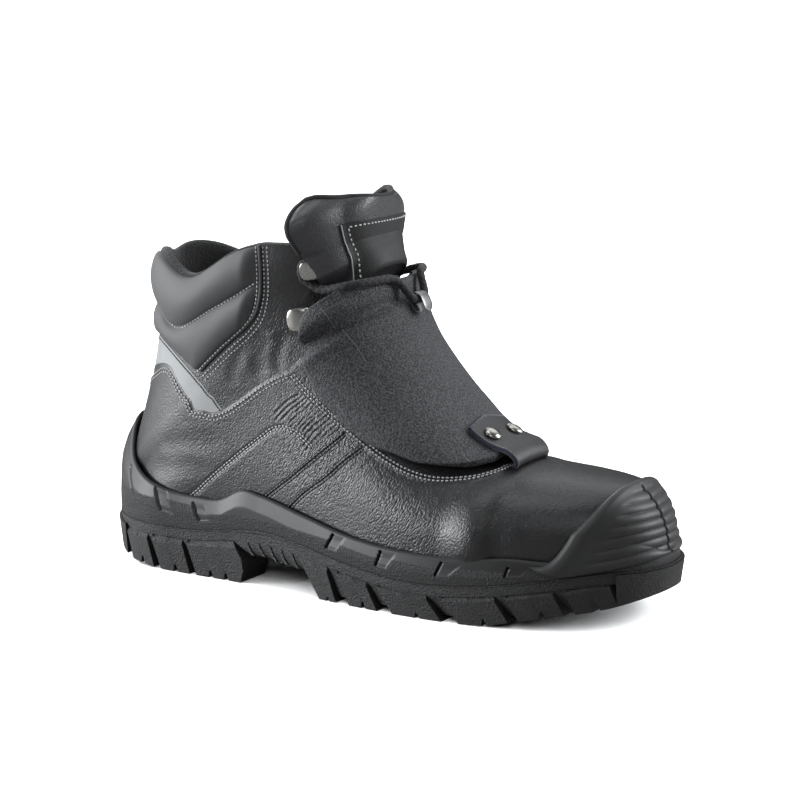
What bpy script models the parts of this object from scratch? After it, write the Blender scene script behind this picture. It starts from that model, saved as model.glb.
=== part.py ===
"""Right safety shoe with an instep guard, one closed solid for each piece.

Sizes are in millimetres: x runs from heel back to toe tip, y to the inner side, z up from the floor.
Pieces follow a maker's order: sole, upper, collar pad, tongue, insole, guard, hooks, lace.
"""

import collections
import functools
import math

import bmesh
import bpy
import numpy as np

for old in list(bpy.data.objects):
    bpy.data.objects.remove(old, do_unlink=True)

MM = 0.001
LENGTH = 302.0  # of the sole
WALL = 2.2  # leather of the upper with its lining
GAP = 0.3  # space left between pieces that meet
LATERAL, MEDIAL = -1, 1  # outer and inner side of the foot
Finish = collections.namedtuple("Finish", "colour roughness metallic")
BLACK_LEATHER = Finish((0.03, 0.03, 0.03, 1), 0.5, 0)
GUARD_LEATHER = Finish((0.09, 0.09, 0.11, 1), 0.6, 0)
BLACK_RUBBER = Finish((0.02, 0.02, 0.02, 1), 0.6, 0)
BLACK_CORD = Finish((0.02, 0.02, 0.025, 1), 0.8, 0)
NICKEL = Finish((0.6, 0.6, 0.58, 1), 0.3, 1)
SHARP = math.radians(40)  # edges sharper than this stay crisp


def table(names, *rows):
    """Columns by name from rows of numbers."""
    return dict(zip(names.split(), np.array(rows, float).T))


def smooth(columns, name, at, along="x"):
    """Smooth curve through one column of a table."""
    knots, values = columns[along], columns[name]
    step = np.diff(knots)
    rise = np.diff(values) / step
    inner = (rise[:-1] * step[1:] + rise[1:] * step[:-1]) / (step[:-1] + step[1:])
    slope = np.concatenate([rise[:1], inner, rise[-1:]])
    at = np.clip(at, knots[0], knots[-1])
    i = np.clip(np.searchsorted(knots, at) - 1, 0, len(step) - 1)
    t = (at - knots[i]) / step[i]
    start = values[i] * (1 + 2 * t) + slope[i] * step[i] * t
    end = values[i + 1] * (3 - 2 * t) + slope[i + 1] * step[i] * (t - 1)
    return start * (1 - t) ** 2 + end * t * t


def unit(vector):
    return vector / np.linalg.norm(vector)


def solid(name, points, faces, finish):
    """Mesh object with its seams welded and its faces turned outward."""
    points = np.array(points, float) - (LENGTH / 2, 0, 0)
    mesh = bpy.data.meshes.new(name)
    mesh.from_pydata((points * MM).tolist(), [], [list(map(int, face)) for face in faces])
    work = bmesh.new()
    work.from_mesh(mesh)
    bmesh.ops.remove_doubles(work, verts=work.verts, dist=0.004 * MM)
    bmesh.ops.recalc_face_normals(work, faces=work.faces)
    work.to_mesh(mesh)
    work.free()
    mesh.shade_smooth()
    mesh.set_sharp_from_angle(angle=SHARP)
    made = bpy.data.objects.new(name, mesh)
    bpy.context.scene.collection.objects.link(made)
    material = bpy.data.materials.new(name)
    material.use_nodes = True
    material.diffuse_color = finish.colour
    sockets = material.node_tree.nodes["Principled BSDF"].inputs
    sockets["Base Color"].default_value = finish.colour
    sockets["Roughness"].default_value = finish.roughness
    sockets["Metallic"].default_value = finish.metallic
    mesh.materials.append(material)
    return made


def boolean(target, operation, other):
    """Boolean modifier with a helper that stays out of the model."""
    other.hide_render = True
    other.display_type = "WIRE"
    made = target.modifiers.new(operation.lower(), "BOOLEAN")
    made.operation = operation
    made.solver = "EXACT"
    made.object = other


def grid_faces(rows, columns, start=0, flip=False):
    """Faces of a grid stored row by row, each square split the same way."""
    faces = []
    for i in range(rows - 1):
        for j in range(columns - 1):
            a = start + i * columns + j
            b = a + columns
            halves = [a, a + 1, b + 1], [a, b + 1, b]
            faces += [half[::-1] if flip else half for half in halves]
    return faces


def thick(name, outer, inner, faces, finish):
    """Closed solid between two matching skins: seams are welded and each open edge gets a wall."""
    outer, inner = np.array(outer, float), np.array(inner, float)
    _, first, index = np.unique(np.round(outer, 3), axis=0, return_index=True, return_inverse=True)
    index = index.reshape(-1)
    count = len(first)
    welded = []
    for face in faces:
        corners = list(dict.fromkeys(int(index[corner]) for corner in face))
        if len(corners) > 2:
            welded.append(corners)
    sides = {(face[i - 1], face[i]) for face in welded for i in range(len(face))}
    walls = [(b, a, a + count, b + count) for a, b in sorted(sides) if (b, a) not in sides]
    backs = [[corner + count for corner in face[::-1]] for face in welded]
    points = np.concatenate([outer[first], inner[first]])
    return solid(name, points, welded + backs + walls, finish)


# Sole outline and heights, for a ball 108 mm wide.
HEEL_ROUND = 46.0  # length of the rounded heel end
TOE_ROUND = 74.0  # length of the rounded toe end
OUTLINE = table(
    "x lateral medial",
    (0, 36.5, 36.5),
    (25, 37.5, 37),
    (60, 38.5, 36.5),
    (95, 41, 34.5),
    (130, 46, 37),
    (160, 51, 43.5),
    (190, 54, 50.5),
    (215, 54, 54),
    (240, 51.5, 54),
    (270, 47, 51.5),
    (302, 42, 48),
)
HEIGHTS = table(
    "x ground parting rim feather",
    (0, 4, 18, 71, 31),
    (4, 2.5, 18.4, 61.5, 31),
    (10, 0.8, 19, 53.5, 31),
    (18, 0, 20, 48.5, 31),
    (39, 0, 22, 41.5, 31),
    (64, 0, 22.5, 39, 31),
    (76, 0, 24, 39.5, 31),
    (91, 0, 26, 46, 31.5),
    (103, 0, 27, 44.5, 31.5),
    (128, 0, 24.5, 39, 29),
    (158, 0, 19.5, 33, 25),
    (187, 0, 16.5, 30.5, 22),
    (212, 0, 17, 30.5, 22),
    (228, 0.5, 18.7, 31.5, 23.5),
    (245, 3.5, 21.2, 33.5, 26),
    (262, 8, 24, 35, 28.5),
    (282, 13, 27, 36.5, 31),
    (302, 18, 28, 37.5, 33),
)


def height(name, x):
    return np.maximum(smooth(HEIGHTS, name, x), 0.0)


def edge(x, side, inset=0.0):
    """Half width of the sole at x, drawn in by an inset."""
    wide = smooth(OUTLINE, "lateral" if side == LATERAL else "medial", x)
    heel = np.clip((x - inset) / (HEEL_ROUND - inset), 0, 1)
    toe = np.clip((LENGTH - inset - x) / (TOE_ROUND - inset), 0, 1)
    heel_round = (1 - (1 - heel) ** 2.1) ** (1 / 2.1)
    toe_round = (1 - (1 - toe) ** 2.3) ** (1 / 2.3)
    return np.maximum(wide - inset, 0) * heel_round * toe_round


def stations(count, inset):
    """Places along the sole, closer together at both ends."""
    return inset + (LENGTH - 2 * inset) * (1 - np.cos(np.linspace(0, math.pi, count))) / 2


def stack(levels, count):
    """Closed stack of sole outlines: each level has an inset, heights and a lean at the heel."""
    points, faces = [], []
    ring = 2 * count
    for inset, level, heel_lean in levels:
        x = stations(count, inset)
        z = level(x)
        leaned = x + heel_lean * np.clip(1 - x / HEEL_ROUND, 0, 1) ** 1.5
        for side in (LATERAL, MEDIAL):
            points.extend(zip(leaned, side * edge(x, side, inset), z))
    for i in range(len(levels) - 1):
        low, high = i * ring, (i + 1) * ring
        for part in (0, count):
            for k in range(part, part + count - 1):
                faces.append([low + k, low + k + 1, high + k + 1, high + k])
    for base in (0, (len(levels) - 1) * ring):
        for k in range(count - 1):
            faces.append([base + k, base + k + 1, base + count + k + 1, base + count + k])
    return np.array(points), faces


def seam_clean(points, faces):
    """Faces with corners at one point joined, so that the rounded ends close cleanly."""
    _, first, index = np.unique(np.round(points, 3), axis=0, return_index=True, return_inverse=True)
    index = index.reshape(-1)
    kept = []
    for face in faces:
        corners = list(dict.fromkeys(int(index[corner]) for corner in face))
        if len(corners) > 2:
            kept.append(corners)
    return points[first], kept


# Outsole: lower moulding with deep side lugs, plain centre lugs, a raised arch and toe spring.
SLAB = 5.5
ARCH = table("x deeper", (86, 0), (95, 6), (105, 6.5), (118, 7), (129, 6), (138, 1), (144, 0))
SLAB_INSET = 2.2
LUG_INSET = 0.4  # side lugs stand proud of the slab
LUG_DRAFT = 1.6
LUG_REACH = 24.0
SIDE_LUGS = table(
    "start end lean",
    (20.5, 33, 2),
    (37, 53, 2.5),
    (60, 87, 3),
    (133, 145, 5),
    (149.5, 168.5, 6),
    (174, 202, 7),
    (208, 234, 7),
    (239.5, 261, 6),
    (266, 283, 4),
)
CENTRE_LUGS = table(
    "x long wide",
    (28, 5, 9),
    (47, 5, 9),
    (70, 7, 9),
    (146, 5, 12),
    (166, 6, 17),
    (190, 7, 20),
    (216, 7, 22),
    (241, 6, 20),
    (264, 5, 15),
)


def prism(points, faces, top, bottom):
    """Adds a closed prism between two matching loops."""
    base, count = len(points), len(top)
    points.extend(top)
    points.extend(bottom)
    faces.append(list(range(base, base + count)))
    faces.append(list(range(base + 2 * count - 1, base + count - 1, -1)))
    for k in range(count):
        n = (k + 1) % count
        faces.append([base + k, base + n, base + count + n, base + count + k])


def lug_loop(x, y, lean, top):
    """Loop of a lug at its root in the slab, or at its flat tread end."""
    if top:
        z = height("parting", x) - SLAB + 2.0
        return list(zip(x, y, z))
    return list(zip(x + lean, y, height("ground", x + lean)))


def side_lug(start, end, lean, side, top):
    draft = 0.0 if top else LUG_DRAFT
    x = np.linspace(start + draft * 0.5, end - draft * 0.5, 4)
    outer = edge(x + (0 if top else lean), side, LUG_INSET + draft)
    inner = np.maximum(outer[[-1, 0]] - LUG_REACH + draft * 1.5, 15.0 + draft)
    loop_x = np.concatenate([x, x[[-1, 0]]])
    loop_y = side * np.concatenate([outer, inner])
    return lug_loop(loop_x, loop_y, lean, top)


def centre_lug(x, long, wide, top):
    draft = 0.0 if top else 1.0
    reach = np.minimum(edge(x, LATERAL), edge(x, MEDIAL)) - LUG_REACH - 5.0
    wide = min(wide, max(float(reach), 9.0)) - draft
    long -= draft
    loop_x = x + long * np.array([-1, -1, 0, 1, 1, 0])
    loop_y = wide * np.array([-0.7, 0.7, 1, 0.7, -0.7, -1])
    return lug_loop(loop_x, loop_y, 0.0, top)


def end_lug(start, end, inset, top):
    """Lug that follows the rounded heel or toe from side to side."""
    draft = 0.0 if top else LUG_DRAFT
    x = np.linspace(start, end + math.copysign(draft, start - end), 5)
    lateral = -edge(x, LATERAL, inset + draft)
    medial = edge(x, MEDIAL, inset + draft)
    loop_x = np.concatenate([x, x[-2::-1]])
    loop_y = np.concatenate([lateral, medial[-2::-1]])
    loop_y[len(x) - 1] = 0.0
    return lug_loop(loop_x, loop_y, 0.0, top)


levels = [
    (SLAB_INSET, lambda x: height("parting", x) - SLAB - smooth(ARCH, "deeper", x), 0),
    (SLAB_INSET - 0.8, lambda x: height("parting", x) - 1.5, 0),
    (SLAB_INSET, lambda x: height("parting", x) - GAP / 2, 0),
]
outsole = solid("outsole", *seam_clean(*stack(levels, 32)), BLACK_RUBBER)
lug_points, lug_faces = [], []
for start, end, lean in zip(*SIDE_LUGS.values()):
    for side in (LATERAL, MEDIAL):
        loops = [side_lug(start, end, lean, side, top) for top in (True, False)]
        prism(lug_points, lug_faces, *loops)
for x, long, wide in zip(*CENTRE_LUGS.values()):
    prism(lug_points, lug_faces, *[centre_lug(x, long, wide, top) for top in (True, False)])
HEEL_LUG = (16.5, LUG_INSET)
TOE_LUG = (287.0, LENGTH - LUG_INSET)
for start, end in (HEEL_LUG, TOE_LUG):
    prism(lug_points, lug_faces, *[end_lug(start, end, LUG_INSET, top) for top in (True, False)])
lugs = solid("lugs_helper", lug_points, lug_faces, BLACK_RUBBER)
boolean(outsole, "UNION", lugs)


# Upper shape: a fan of sections, each from its ridge or top point to the sole edge or heel back.
UPPER_INSET = 5.5  # leather sits inside the sole outline
CLOSED_ROW = 14  # sections from here on close round the heel
LAST_ROW = 19
FAN = table(
    "row top_x top_z foot_x foot_z wide_lateral wide_medial level top_round foot_round",
    (0, 296, 37, 296, 0, 0, 0, 0.50, 2.2, 2.0),
    (1, 294, 44.5, 294, 0, 0, 0, 0.45, 2.2, 2.0),
    (2, 289, 52.5, 289, 0, 0, 0, 0.40, 2.3, 2.0),
    (3, 281, 58.8, 281, 0, 0, 0, 0.38, 2.4, 2.0),
    (4, 269.5, 62.4, 269.5, 0, 0, 0, 0.35, 2.4, 2.0),
    (5, 254, 65.2, 254, 0, 0, 0, 0.32, 2.4, 2.0),
    (6, 232, 67.8, 231, 0, 48, 48, 0.30, 2.4, 2.0),
    (7, 207, 71, 202, 0, 49, 46.5, 0.28, 2.2, 2.0),
    (8, 188, 81.5, 172, 0, 47, 41.5, 0.28, 2.2, 2.0),
    (9, 173, 97.5, 140, 0, 42.8, 37, 0.30, 2.4, 2.0),
    (10, 162.5, 114.5, 107, 0, 39, 34, 0.34, 2.6, 2.0),
    (11, 155.5, 130, 74, 0, 36.5, 33.5, 0.38, 2.8, 2.0),
    (12, 151.5, 142.5, 44, 0, 35, 33.5, 0.42, 3.0, 2.05),
    (13, 149, 150.5, 20, 0, 34.5, 33.5, 0.46, 3.0, 2.1),
    (14, 148, 157, 5.5, 31, 34.5, 33.5, 0.50, 3.0, 2.15),
    (15, 147, 161.5, 8.2, 51, 34.5, 34, 0.52, 3.0, 2.15),
    (16, 146.5, 164.5, 15.5, 76, 35, 34.5, 0.52, 3.0, 2.1),
    (17, 146, 167, 22.5, 102, 36, 35.5, 0.52, 3.0, 2.1),
    (18, 146, 169.5, 25.8, 128, 37, 36.5, 0.52, 3.0, 2.1),
    (19, 146, 172, 27, 155, 37.5, 37, 0.52, 3.0, 2.1),
)


@functools.lru_cache(maxsize=None)
def section(row, side):
    """Foot and top point of one section, its width and height share from ridge to foot, its arc."""
    at = {name: float(smooth(FAN, name, row, "row")) for name in FAN}
    foot_half = 0.0
    if row < CLOSED_ROW:
        at["foot_z"] = float(height("feather", at["foot_x"]))
        foot_half = float(edge(at["foot_x"], side, UPPER_INSET))
    wide = max(at["wide_lateral" if side == LATERAL else "wide_medial"], foot_half)
    level, top_round, foot_round = at["level"], at["top_round"], at["foot_round"]
    turn = np.linspace(0, math.pi / 2, 90)
    share = level + (1 - level) * np.abs(np.cos(turn)) ** (2 / top_round)
    half = wide * np.sin(turn) ** (2 / top_round)
    below = np.sin(turn[1:]) ** (2 / foot_round)
    draw_in = 1 - (foot_half / wide) ** foot_round if wide > 0 else 0.0
    low_half = wide * np.maximum(1 - draw_in * below**foot_round, 0) ** (1 / foot_round)
    share = np.concatenate([share, level * (1 - below)])
    half = np.concatenate([half, low_half])
    share[89], share[-1], half[-1] = level, 0.0, foot_half
    foot = np.array([at["foot_x"], at["foot_z"]])
    top = np.array([at["top_x"], at["top_z"]])
    reach = np.linalg.norm(top - foot)
    arc = np.concatenate([[0], np.cumsum(np.hypot(np.diff(share) * reach, np.diff(half)))])
    return foot, top, share, half, arc / arc[-1], arc[-1]


def surface(row, u, side):
    """Point of the upper: u is 0 on the ridge and 1 at the sole or the heel back."""
    foot, top, share, half, arc, _ = section(round(float(np.clip(row, 0, LAST_ROW)), 4), side)
    s = np.interp(u, arc, share)
    x, z = foot + (top - foot) * s
    return np.array([x, side * np.interp(u, arc, half), z])


def normal(row, u, side):
    row = max(row, 0.15)
    u_low, u_high = max(u - 0.012, 0), min(u + 0.012, 1)
    row_low, row_high = max(row - 0.06, 0.1), min(row + 0.06, LAST_ROW)
    if row >= CLOSED_ROW:
        row_low = max(row_low, CLOSED_ROW)
    across = surface(row, u_high, side) - surface(row, u_low, side)
    along = surface(row_high, u, side) - surface(row_low, u, side)
    out = np.cross(across, along) * side
    if u == 0 or (u == 1 and row >= CLOSED_ROW):
        out[1] = 0.0
    return unit(out)


def skin(row, u, side, lift=0.0):
    """Point of the upper lifted off its surface; both sides share the toe line of row 0."""
    if row > 0:
        return surface(row, u, side) + lift * normal(row, u, side)
    return (surface(row, u, LATERAL) + lift * normal(row, u, LATERAL)) * (1, 0, 1)


def half_u(row, y, side):
    """Share of the section at which its upper part is y wide."""
    _, _, _, half, arc, _ = section(round(float(row), 4), side)
    return float(np.interp(y, half[:90], arc[:90]))


def place(x, z, side):
    """Row and share of the upper at a point of the side view."""
    low, high = 0.2, float(LAST_ROW)
    for _ in range(40):
        row = (low + high) / 2
        foot, top, share, _, arc, _ = section(round(row, 4), side)
        way = top - foot
        turn = way[0] * (z - foot[1]) - way[1] * (x - foot[0])
        if turn > 0:
            low = row
        else:
            high = row
    s = np.dot((x - foot[0], z - foot[1]), way) / np.dot(way, way)
    return row, float(np.interp(-s, -share, arc))


# Upper: one hollow leather wall, open at the throat, the collar and underneath.
ROWS = np.concatenate(
    [
        [0, 0.35, 0.8, 1.4, 2, 2.7, 3.5, 4.3, 5.1, 5.9, 6.6, 6.66, 6.8, 7.1, 7.6],
        [8.2, 9, 10, 11, 12, 13, 13.35, 13.6, 13.8, 14, 14.4, 15, 15.5, 16, 16.6, 17.2, 18, 19],
    ]
)
COLUMNS = 11
CLOSER = 1.3  # draws columns together toward the sole and heel back
THROAT = table(
    "row half",
    (6.6, 0),
    (6.66, 7),
    (6.8, 13),
    (7.1, 18.5),
    (7.6, 22),
    (8.2, 25),
    (9, 27.5),
    (11, 30.5),
    (14, 31),
    (17, 32.3),
    (18, 33.3),
    (19, 36),
)
DIP = 0.68  # rows the collar drops by at each side of the ankle
DIP_AT = 0.62
DIP_WIDE = 0.13


def collar_row(row, u):
    """Rows near the top squeezed under the dipped collar edge."""
    top = LAST_ROW - DIP * math.exp(-(((u - DIP_AT) / DIP_WIDE) ** 2))
    return row if row < CLOSED_ROW else CLOSED_ROW + (row - CLOSED_ROW) * (top - CLOSED_ROW) / 5


def throat_u(row, side):
    if row <= 6.6:
        return 0.0
    return half_u(row, float(smooth(THROAT, "half", row, "row")), side)


def quarter(row, side, lift):
    """Points of one side of the upper along a row, from throat or ridge to the sole or heel back."""
    start = throat_u(row, side)
    shares = 1 - (1 - start) * (1 - np.linspace(0, 1, COLUMNS)) ** CLOSER
    points = [skin(collar_row(row, u), u, side, lift) for u in shares]
    if row <= CLOSED_ROW:
        points[-1][2] = section(float(row), side)[0][1] - max(lift, 0)
    return points


outer, inner, faces = [], [], []
for side in (LATERAL, MEDIAL):
    faces += grid_faces(len(ROWS), COLUMNS, len(outer), side == MEDIAL)
    for row in ROWS:
        outer += quarter(row, side, 0)
        inner += quarter(row, side, -WALL)
thick("upper", outer, inner, faces, BLACK_LEATHER)


# Midsole: upper moulding with a raised rim, hollowed by a larger form of the upper's own surface.
FOOT_CLEAR = 0.5
HIDDEN_CLEAR = 1.4  # below the rim
levels = [  # inset, height and lean at the heel
    (1.6, lambda x: height("parting", x) + GAP / 2, 0),
    (0.4, lambda x: height("parting", x) + 2.5, 0),
    (0.0, lambda x: height("parting", x) + 5.0, 0),
    (0.2, lambda x: (height("parting", x) + height("rim", x)) / 2 - 0.7, 0.6),
    (0.5, lambda x: height("rim", x) - 6.5, 4.0),
    (1.2, lambda x: height("rim", x) - 2.0, 6.0),
    (2.4, lambda x: height("rim", x), 6.5),
]
midsole = solid("midsole", *seam_clean(*stack(levels, 38)), BLACK_RUBBER)
form_rows = ROWS[ROWS < 17.5]
form_points, form_faces = [], []
for side in (LATERAL, MEDIAL):
    form_faces += grid_faces(len(form_rows), COLUMNS, len(form_points), side == MEDIAL)
    for row in form_rows:
        form_points += quarter(row, side, FOOT_CLEAR)[:-3] + quarter(row, side, HIDDEN_CLEAR)[-3:]
other = len(form_rows) * COLUMNS  # the same point on the other side
last = other - COLUMNS
for i in range(0, last, COLUMNS):
    for a in (i, i + COLUMNS - 1):
        form_faces.append([a, a + COLUMNS, a + COLUMNS + other, a + other])
for a in range(last, other - 1):
    form_faces.append([a, a + 1, a + 1 + other, a + other])
form = solid("foot_form_helper", *seam_clean(np.array(form_points), form_faces), BLACK_RUBBER)
boolean(midsole, "DIFFERENCE", form)


# Toe bumper: moulded cap cut between two larger forms of the upper's own surface.
BUMPER_THICK = 2.3
BUMPER_TOP_ROW = 3.2  # its edge on the ridge
BUMPER_SIDE_ROW = 4.95  # its edge at the sole rim


def above_rim(row, side, lift):
    """Share of the section at which it meets the sole rim."""
    low, high = 0.0, 1.0
    for _ in range(30):
        u = (low + high) / 2
        point = skin(row, u, side, lift)
        if point[2] > height("rim", point[0]) + GAP:
            low = u
        else:
            high = u
    return low


BUMPER_ROWS = 9
BUMPER_COLUMNS = 8
outer, inner, faces = [], [], []
for side in (LATERAL, MEDIAL):
    faces += grid_faces(BUMPER_ROWS, BUMPER_COLUMNS, len(outer), side == MEDIAL)
    for k in np.linspace(0.0, 1.0, BUMPER_ROWS):
        for f in np.linspace(0, 1, BUMPER_COLUMNS):
            row = 0.12 + k**1.3 * (BUMPER_TOP_ROW + (BUMPER_SIDE_ROW - BUMPER_TOP_ROW) * f**2 - 0.12)
            u = f * above_rim(row, side, GAP)
            rim_round = 1.0 if k < 1 else 0.7
            outer.append(skin(row, u, side, 2 * GAP + BUMPER_THICK * rim_round))
            inner.append(skin(row, u, side, 2 * GAP))
thick("toe_bumper", outer, inner, faces, BLACK_RUBBER)


# Collar pad: padded leather laid over the top of the quarters, with an upper and a lower roll.
PAD_CLEAR = 0.7
PAD_EDGE = 0.8
PAD_PUFF = 3.6
PAD_ROWS = 9
PAD_COLUMNS = 11
PAD_LOW = table(
    "x z channel",
    (99.5, 141, 17.35),
    (96, 130, 17.3),
    (88, 121, 17.2),
    (69, 104, 17.0),
    (58, 105, 17.0),
    (46, 110, 17.2),
    (37, 114, 17.5),
    (24.5, 116, 17.9),
)


def pad_low(side):
    """Lower edge and stitched channel of the pad, against the share of the section."""
    rows = [(*place(x, z, side)[::-1], channel) for x, z, channel in zip(*PAD_LOW.values())]
    rows[-1] = (1.0, *rows[-1][1:])
    return table("u low channel", *rows)


outer, inner, faces = [], [], []
for side in (LATERAL, MEDIAL):
    low = pad_low(side)
    faces += grid_faces(PAD_COLUMNS, PAD_ROWS, len(outer), side == MEDIAL)
    for u in np.linspace(low["u"][0], 1, PAD_COLUMNS):
        bottom = float(smooth(low, "low", u, "u"))
        channel = float(smooth(low, "channel", u, "u"))
        top = collar_row(LAST_ROW, u) - 0.02
        for k in range(PAD_ROWS):
            share = k / (PAD_ROWS - 1)
            lower = share <= 0.375
            roll = share / 0.375 if lower else (share - 0.375) / 0.625
            row = bottom + (channel - bottom) * roll if lower else channel + (top - channel) * roll
            most = PAD_PUFF * (1 - 0.6 * u**2 if lower else 1)
            puff = most * math.sin(math.pi * roll) ** 0.7 if 0 < roll < 1 else 0.0
            ends = min(1.0, (u - low["u"][0]) / 0.06 + 0.15)
            outer.append(skin(row, u, side, PAD_CLEAR + PAD_EDGE + (puff + 0.6) * ends))
            inner.append(skin(row, u, side, PAD_CLEAR))
thick("collar_pad", outer, inner, faces, BLACK_LEATHER)


# Tongue: padded, lies under both facings and stands free above the collar.
TONGUE_CLEAR = WALL + 1.1
TONGUE_TOP = 190.0
TONGUE = table(
    "row half pad",
    (6.3, 10, 3),
    (7.2, 25, 4),
    (8.5, 31, 5),
    (11, 32, 6.5),
    (14, 32, 7.5),
    (18, 32, 8),
)
TONGUE_COLUMNS = 9
free_rise = (0.2, 0.45, 0.7, 0.88, 1.0)
outer, inner = [], []
for row in (6.3, 6.8, 7.4, 8.2, 9, 10, 11, 12, 13, 14, 15, 16, 17, 18):
    half = float(smooth(TONGUE, "half", row, "row"))
    pad = float(smooth(TONGUE, "pad", row, "row"))
    for w in np.linspace(-1, 1, TONGUE_COLUMNS):
        side = LATERAL if w < 0 else MEDIAL
        u = half_u(row, abs(w) * half, side)
        outer.append(skin(row, u, side, -TONGUE_CLEAR))
        inner.append(skin(row, u, side, -TONGUE_CLEAR - 2.5 - pad * (1 - w * w)))
base_outer, base_inner = outer[-TONGUE_COLUMNS:], inner[-TONGUE_COLUMNS:]
for rise in free_rise:
    for w, front, back in zip(np.linspace(-1, 1, TONGUE_COLUMNS), base_outer, base_inner):
        top = TONGUE_TOP - 2 * w * w - (2.5 if w < 0 else 8) * w**6
        thin = 1 - 0.55 * rise**3
        flare = 0.3 * min(rise / 0.7, 1) ** 0.8 - 0.16 * max(rise / 0.3 - 7 / 3, 0) ** 2
        x = front[0] + (3 - 10 * abs(w) ** 3) * rise
        y = front[1] * (1 + flare)
        z = front[2] + (top - front[2]) * rise
        depth = (front - back) * thin
        outer.append(np.array([x, y, z]))
        inner.append(np.array([x, y, z]) - depth * (1, 1, 0.3))
faces = grid_faces(14 + len(free_rise), TONGUE_COLUMNS)
thick("tongue", outer, inner, faces, BLACK_LEATHER)


# Insole: flat footbed inside the wall of the upper.
INSOLE_INSET = UPPER_INSET + WALL + 2.1
levels = [
    (INSOLE_INSET, lambda x: height("feather", x) + 0.4, 0.5),
    (INSOLE_INSET, lambda x: height("feather", x) + 2.8, 0.8),
    (INSOLE_INSET + 1.2, lambda x: height("feather", x) + 4.0, 1.0),
]
solid("insole", *seam_clean(*stack(levels, 26)), BLACK_CORD)


# Instep guard: stiff shield over the instep, its sections square to a ridge line.
GUARD_THICK = 3.0
GUARD = table(
    "s x z half depth turn sweep",
    (0, 221, 74.8, 29, 6, 45, 0),
    (1, 212, 77.8, 36, 12, 72, 0),
    (2, 202, 85, 42.5, 21, 84, 0),
    (3, 194, 93.5, 45.5, 28, 88, 0),
    (4, 186, 102.5, 46.5, 34, 90, 0),
    (5, 177.5, 113.5, 46, 37.5, 90, 0),
    (6, 170, 124, 45.5, 37.5, 90, 2),
    (7, 163, 137, 45, 33, 88, 5),
    (8, 157.5, 149, 44, 25, 70, 10),
)


def guard(s, turn, lift=0.0):
    """Point of the guard: s runs up its ridge, turn in degrees goes round to a side."""
    x, z = smooth(GUARD, "x", s, "s"), smooth(GUARD, "z", s, "s")
    low, high = max(s - 0.1, 0), min(s + 0.1, 8)
    run = smooth(GUARD, "x", high, "s") - smooth(GUARD, "x", low, "s")
    climb = smooth(GUARD, "z", high, "s") - smooth(GUARD, "z", low, "s")
    out_x, out_z = unit(np.array([climb, -run]))
    half, depth = smooth(GUARD, "half", s, "s"), smooth(GUARD, "depth", s, "s")
    angle = math.radians(turn)
    drop = depth * (1 - math.cos(angle))
    across = unit(np.array([math.sin(angle) / half, math.cos(angle) / depth]))
    y = half * math.sin(angle) + lift * across[0]
    away = lift * across[1] - drop
    up = smooth(GUARD, "sweep", s, "s") * (1 - math.cos(angle))
    return np.array([x + out_x * away - out_z * up, y, z + out_z * away + out_x * up])


GUARD_ROWS = 13
GUARD_COLUMNS = 13
outer, inner = [], []
for s in np.linspace(0, 8, GUARD_ROWS):
    most = float(smooth(GUARD, "turn", s, "s"))
    for turn in np.linspace(-most, most, GUARD_COLUMNS):
        outer.append(guard(s, turn))
        inner.append(guard(s, turn, -GUARD_THICK))
thick("instep_guard", outer, inner, grid_faces(GUARD_ROWS, GUARD_COLUMNS), GUARD_LEATHER)


# Guard tab: leather strap riveted on the guard, rolled forward and under to the vamp.
TAB_THICK = 2.0
TAB_HALF = 16.0
TAB_COLUMNS = 7


def guard_at(s, y, lift):
    half = float(smooth(GUARD, "half", s, "s"))
    return guard(s, math.degrees(math.asin(y / half)), lift)


def vamp_at(x, y, lift):
    """Point over the vamp at x and y."""
    side = LATERAL if y < 0 else MEDIAL
    low, high = 3.0, 9.0
    for _ in range(30):
        row = (low + high) / 2
        u = half_u(row, abs(y), side)
        if surface(row, u, side)[0] > x:
            low = row
        else:
            high = row
    return skin(row, u, side, lift)


tab_top = GAP + TAB_THICK / 2
outer, inner = [], []
for w in np.linspace(-1, 1, TAB_COLUMNS):
    y = TAB_HALF * w
    narrow = 1 - 0.12 * abs(w)
    path = [guard_at(s, y, tab_top) for s in (2.0 * narrow, 1.5, 1.0, 0.5, 0.05)]
    low = [vamp_at(x, y * 0.92, GAP + TAB_THICK / 2) for x in (226, 223.5)]
    front, under = path[-1], low[0]
    centre = (front + under) / 2
    lean = front - centre
    for turn in (30, 60, 90, 120, 150):
        angle = math.radians(turn)
        bulge = np.array([4.0 * math.sin(angle), 0, 0])
        path.append(centre + lean * math.cos(angle) + bulge)
    path += low
    path = np.array(path)
    way = np.gradient(path, axis=0)
    across = np.stack([way[:, 2], 0 * way[:, 1], -way[:, 0]], 1)
    across /= np.linalg.norm(across, axis=1)[:, None]
    outer.append(path + across * TAB_THICK / 2)
    inner.append(path - across * TAB_THICK / 2)
tab_length = len(outer[0])
outer, inner = np.concatenate(outer), np.concatenate(inner)
thick("guard_tab", outer, inner, grid_faces(TAB_COLUMNS, tab_length), BLACK_LEATHER)


# Rivets: two domed heads on the tab.
def frame(origin, up, along):
    """Axes of a small fitting: away from the surface, along it and across."""
    up = unit(up)
    along = unit(along - up * np.dot(along, up))
    return origin, up, along, np.cross(up, along)


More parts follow.
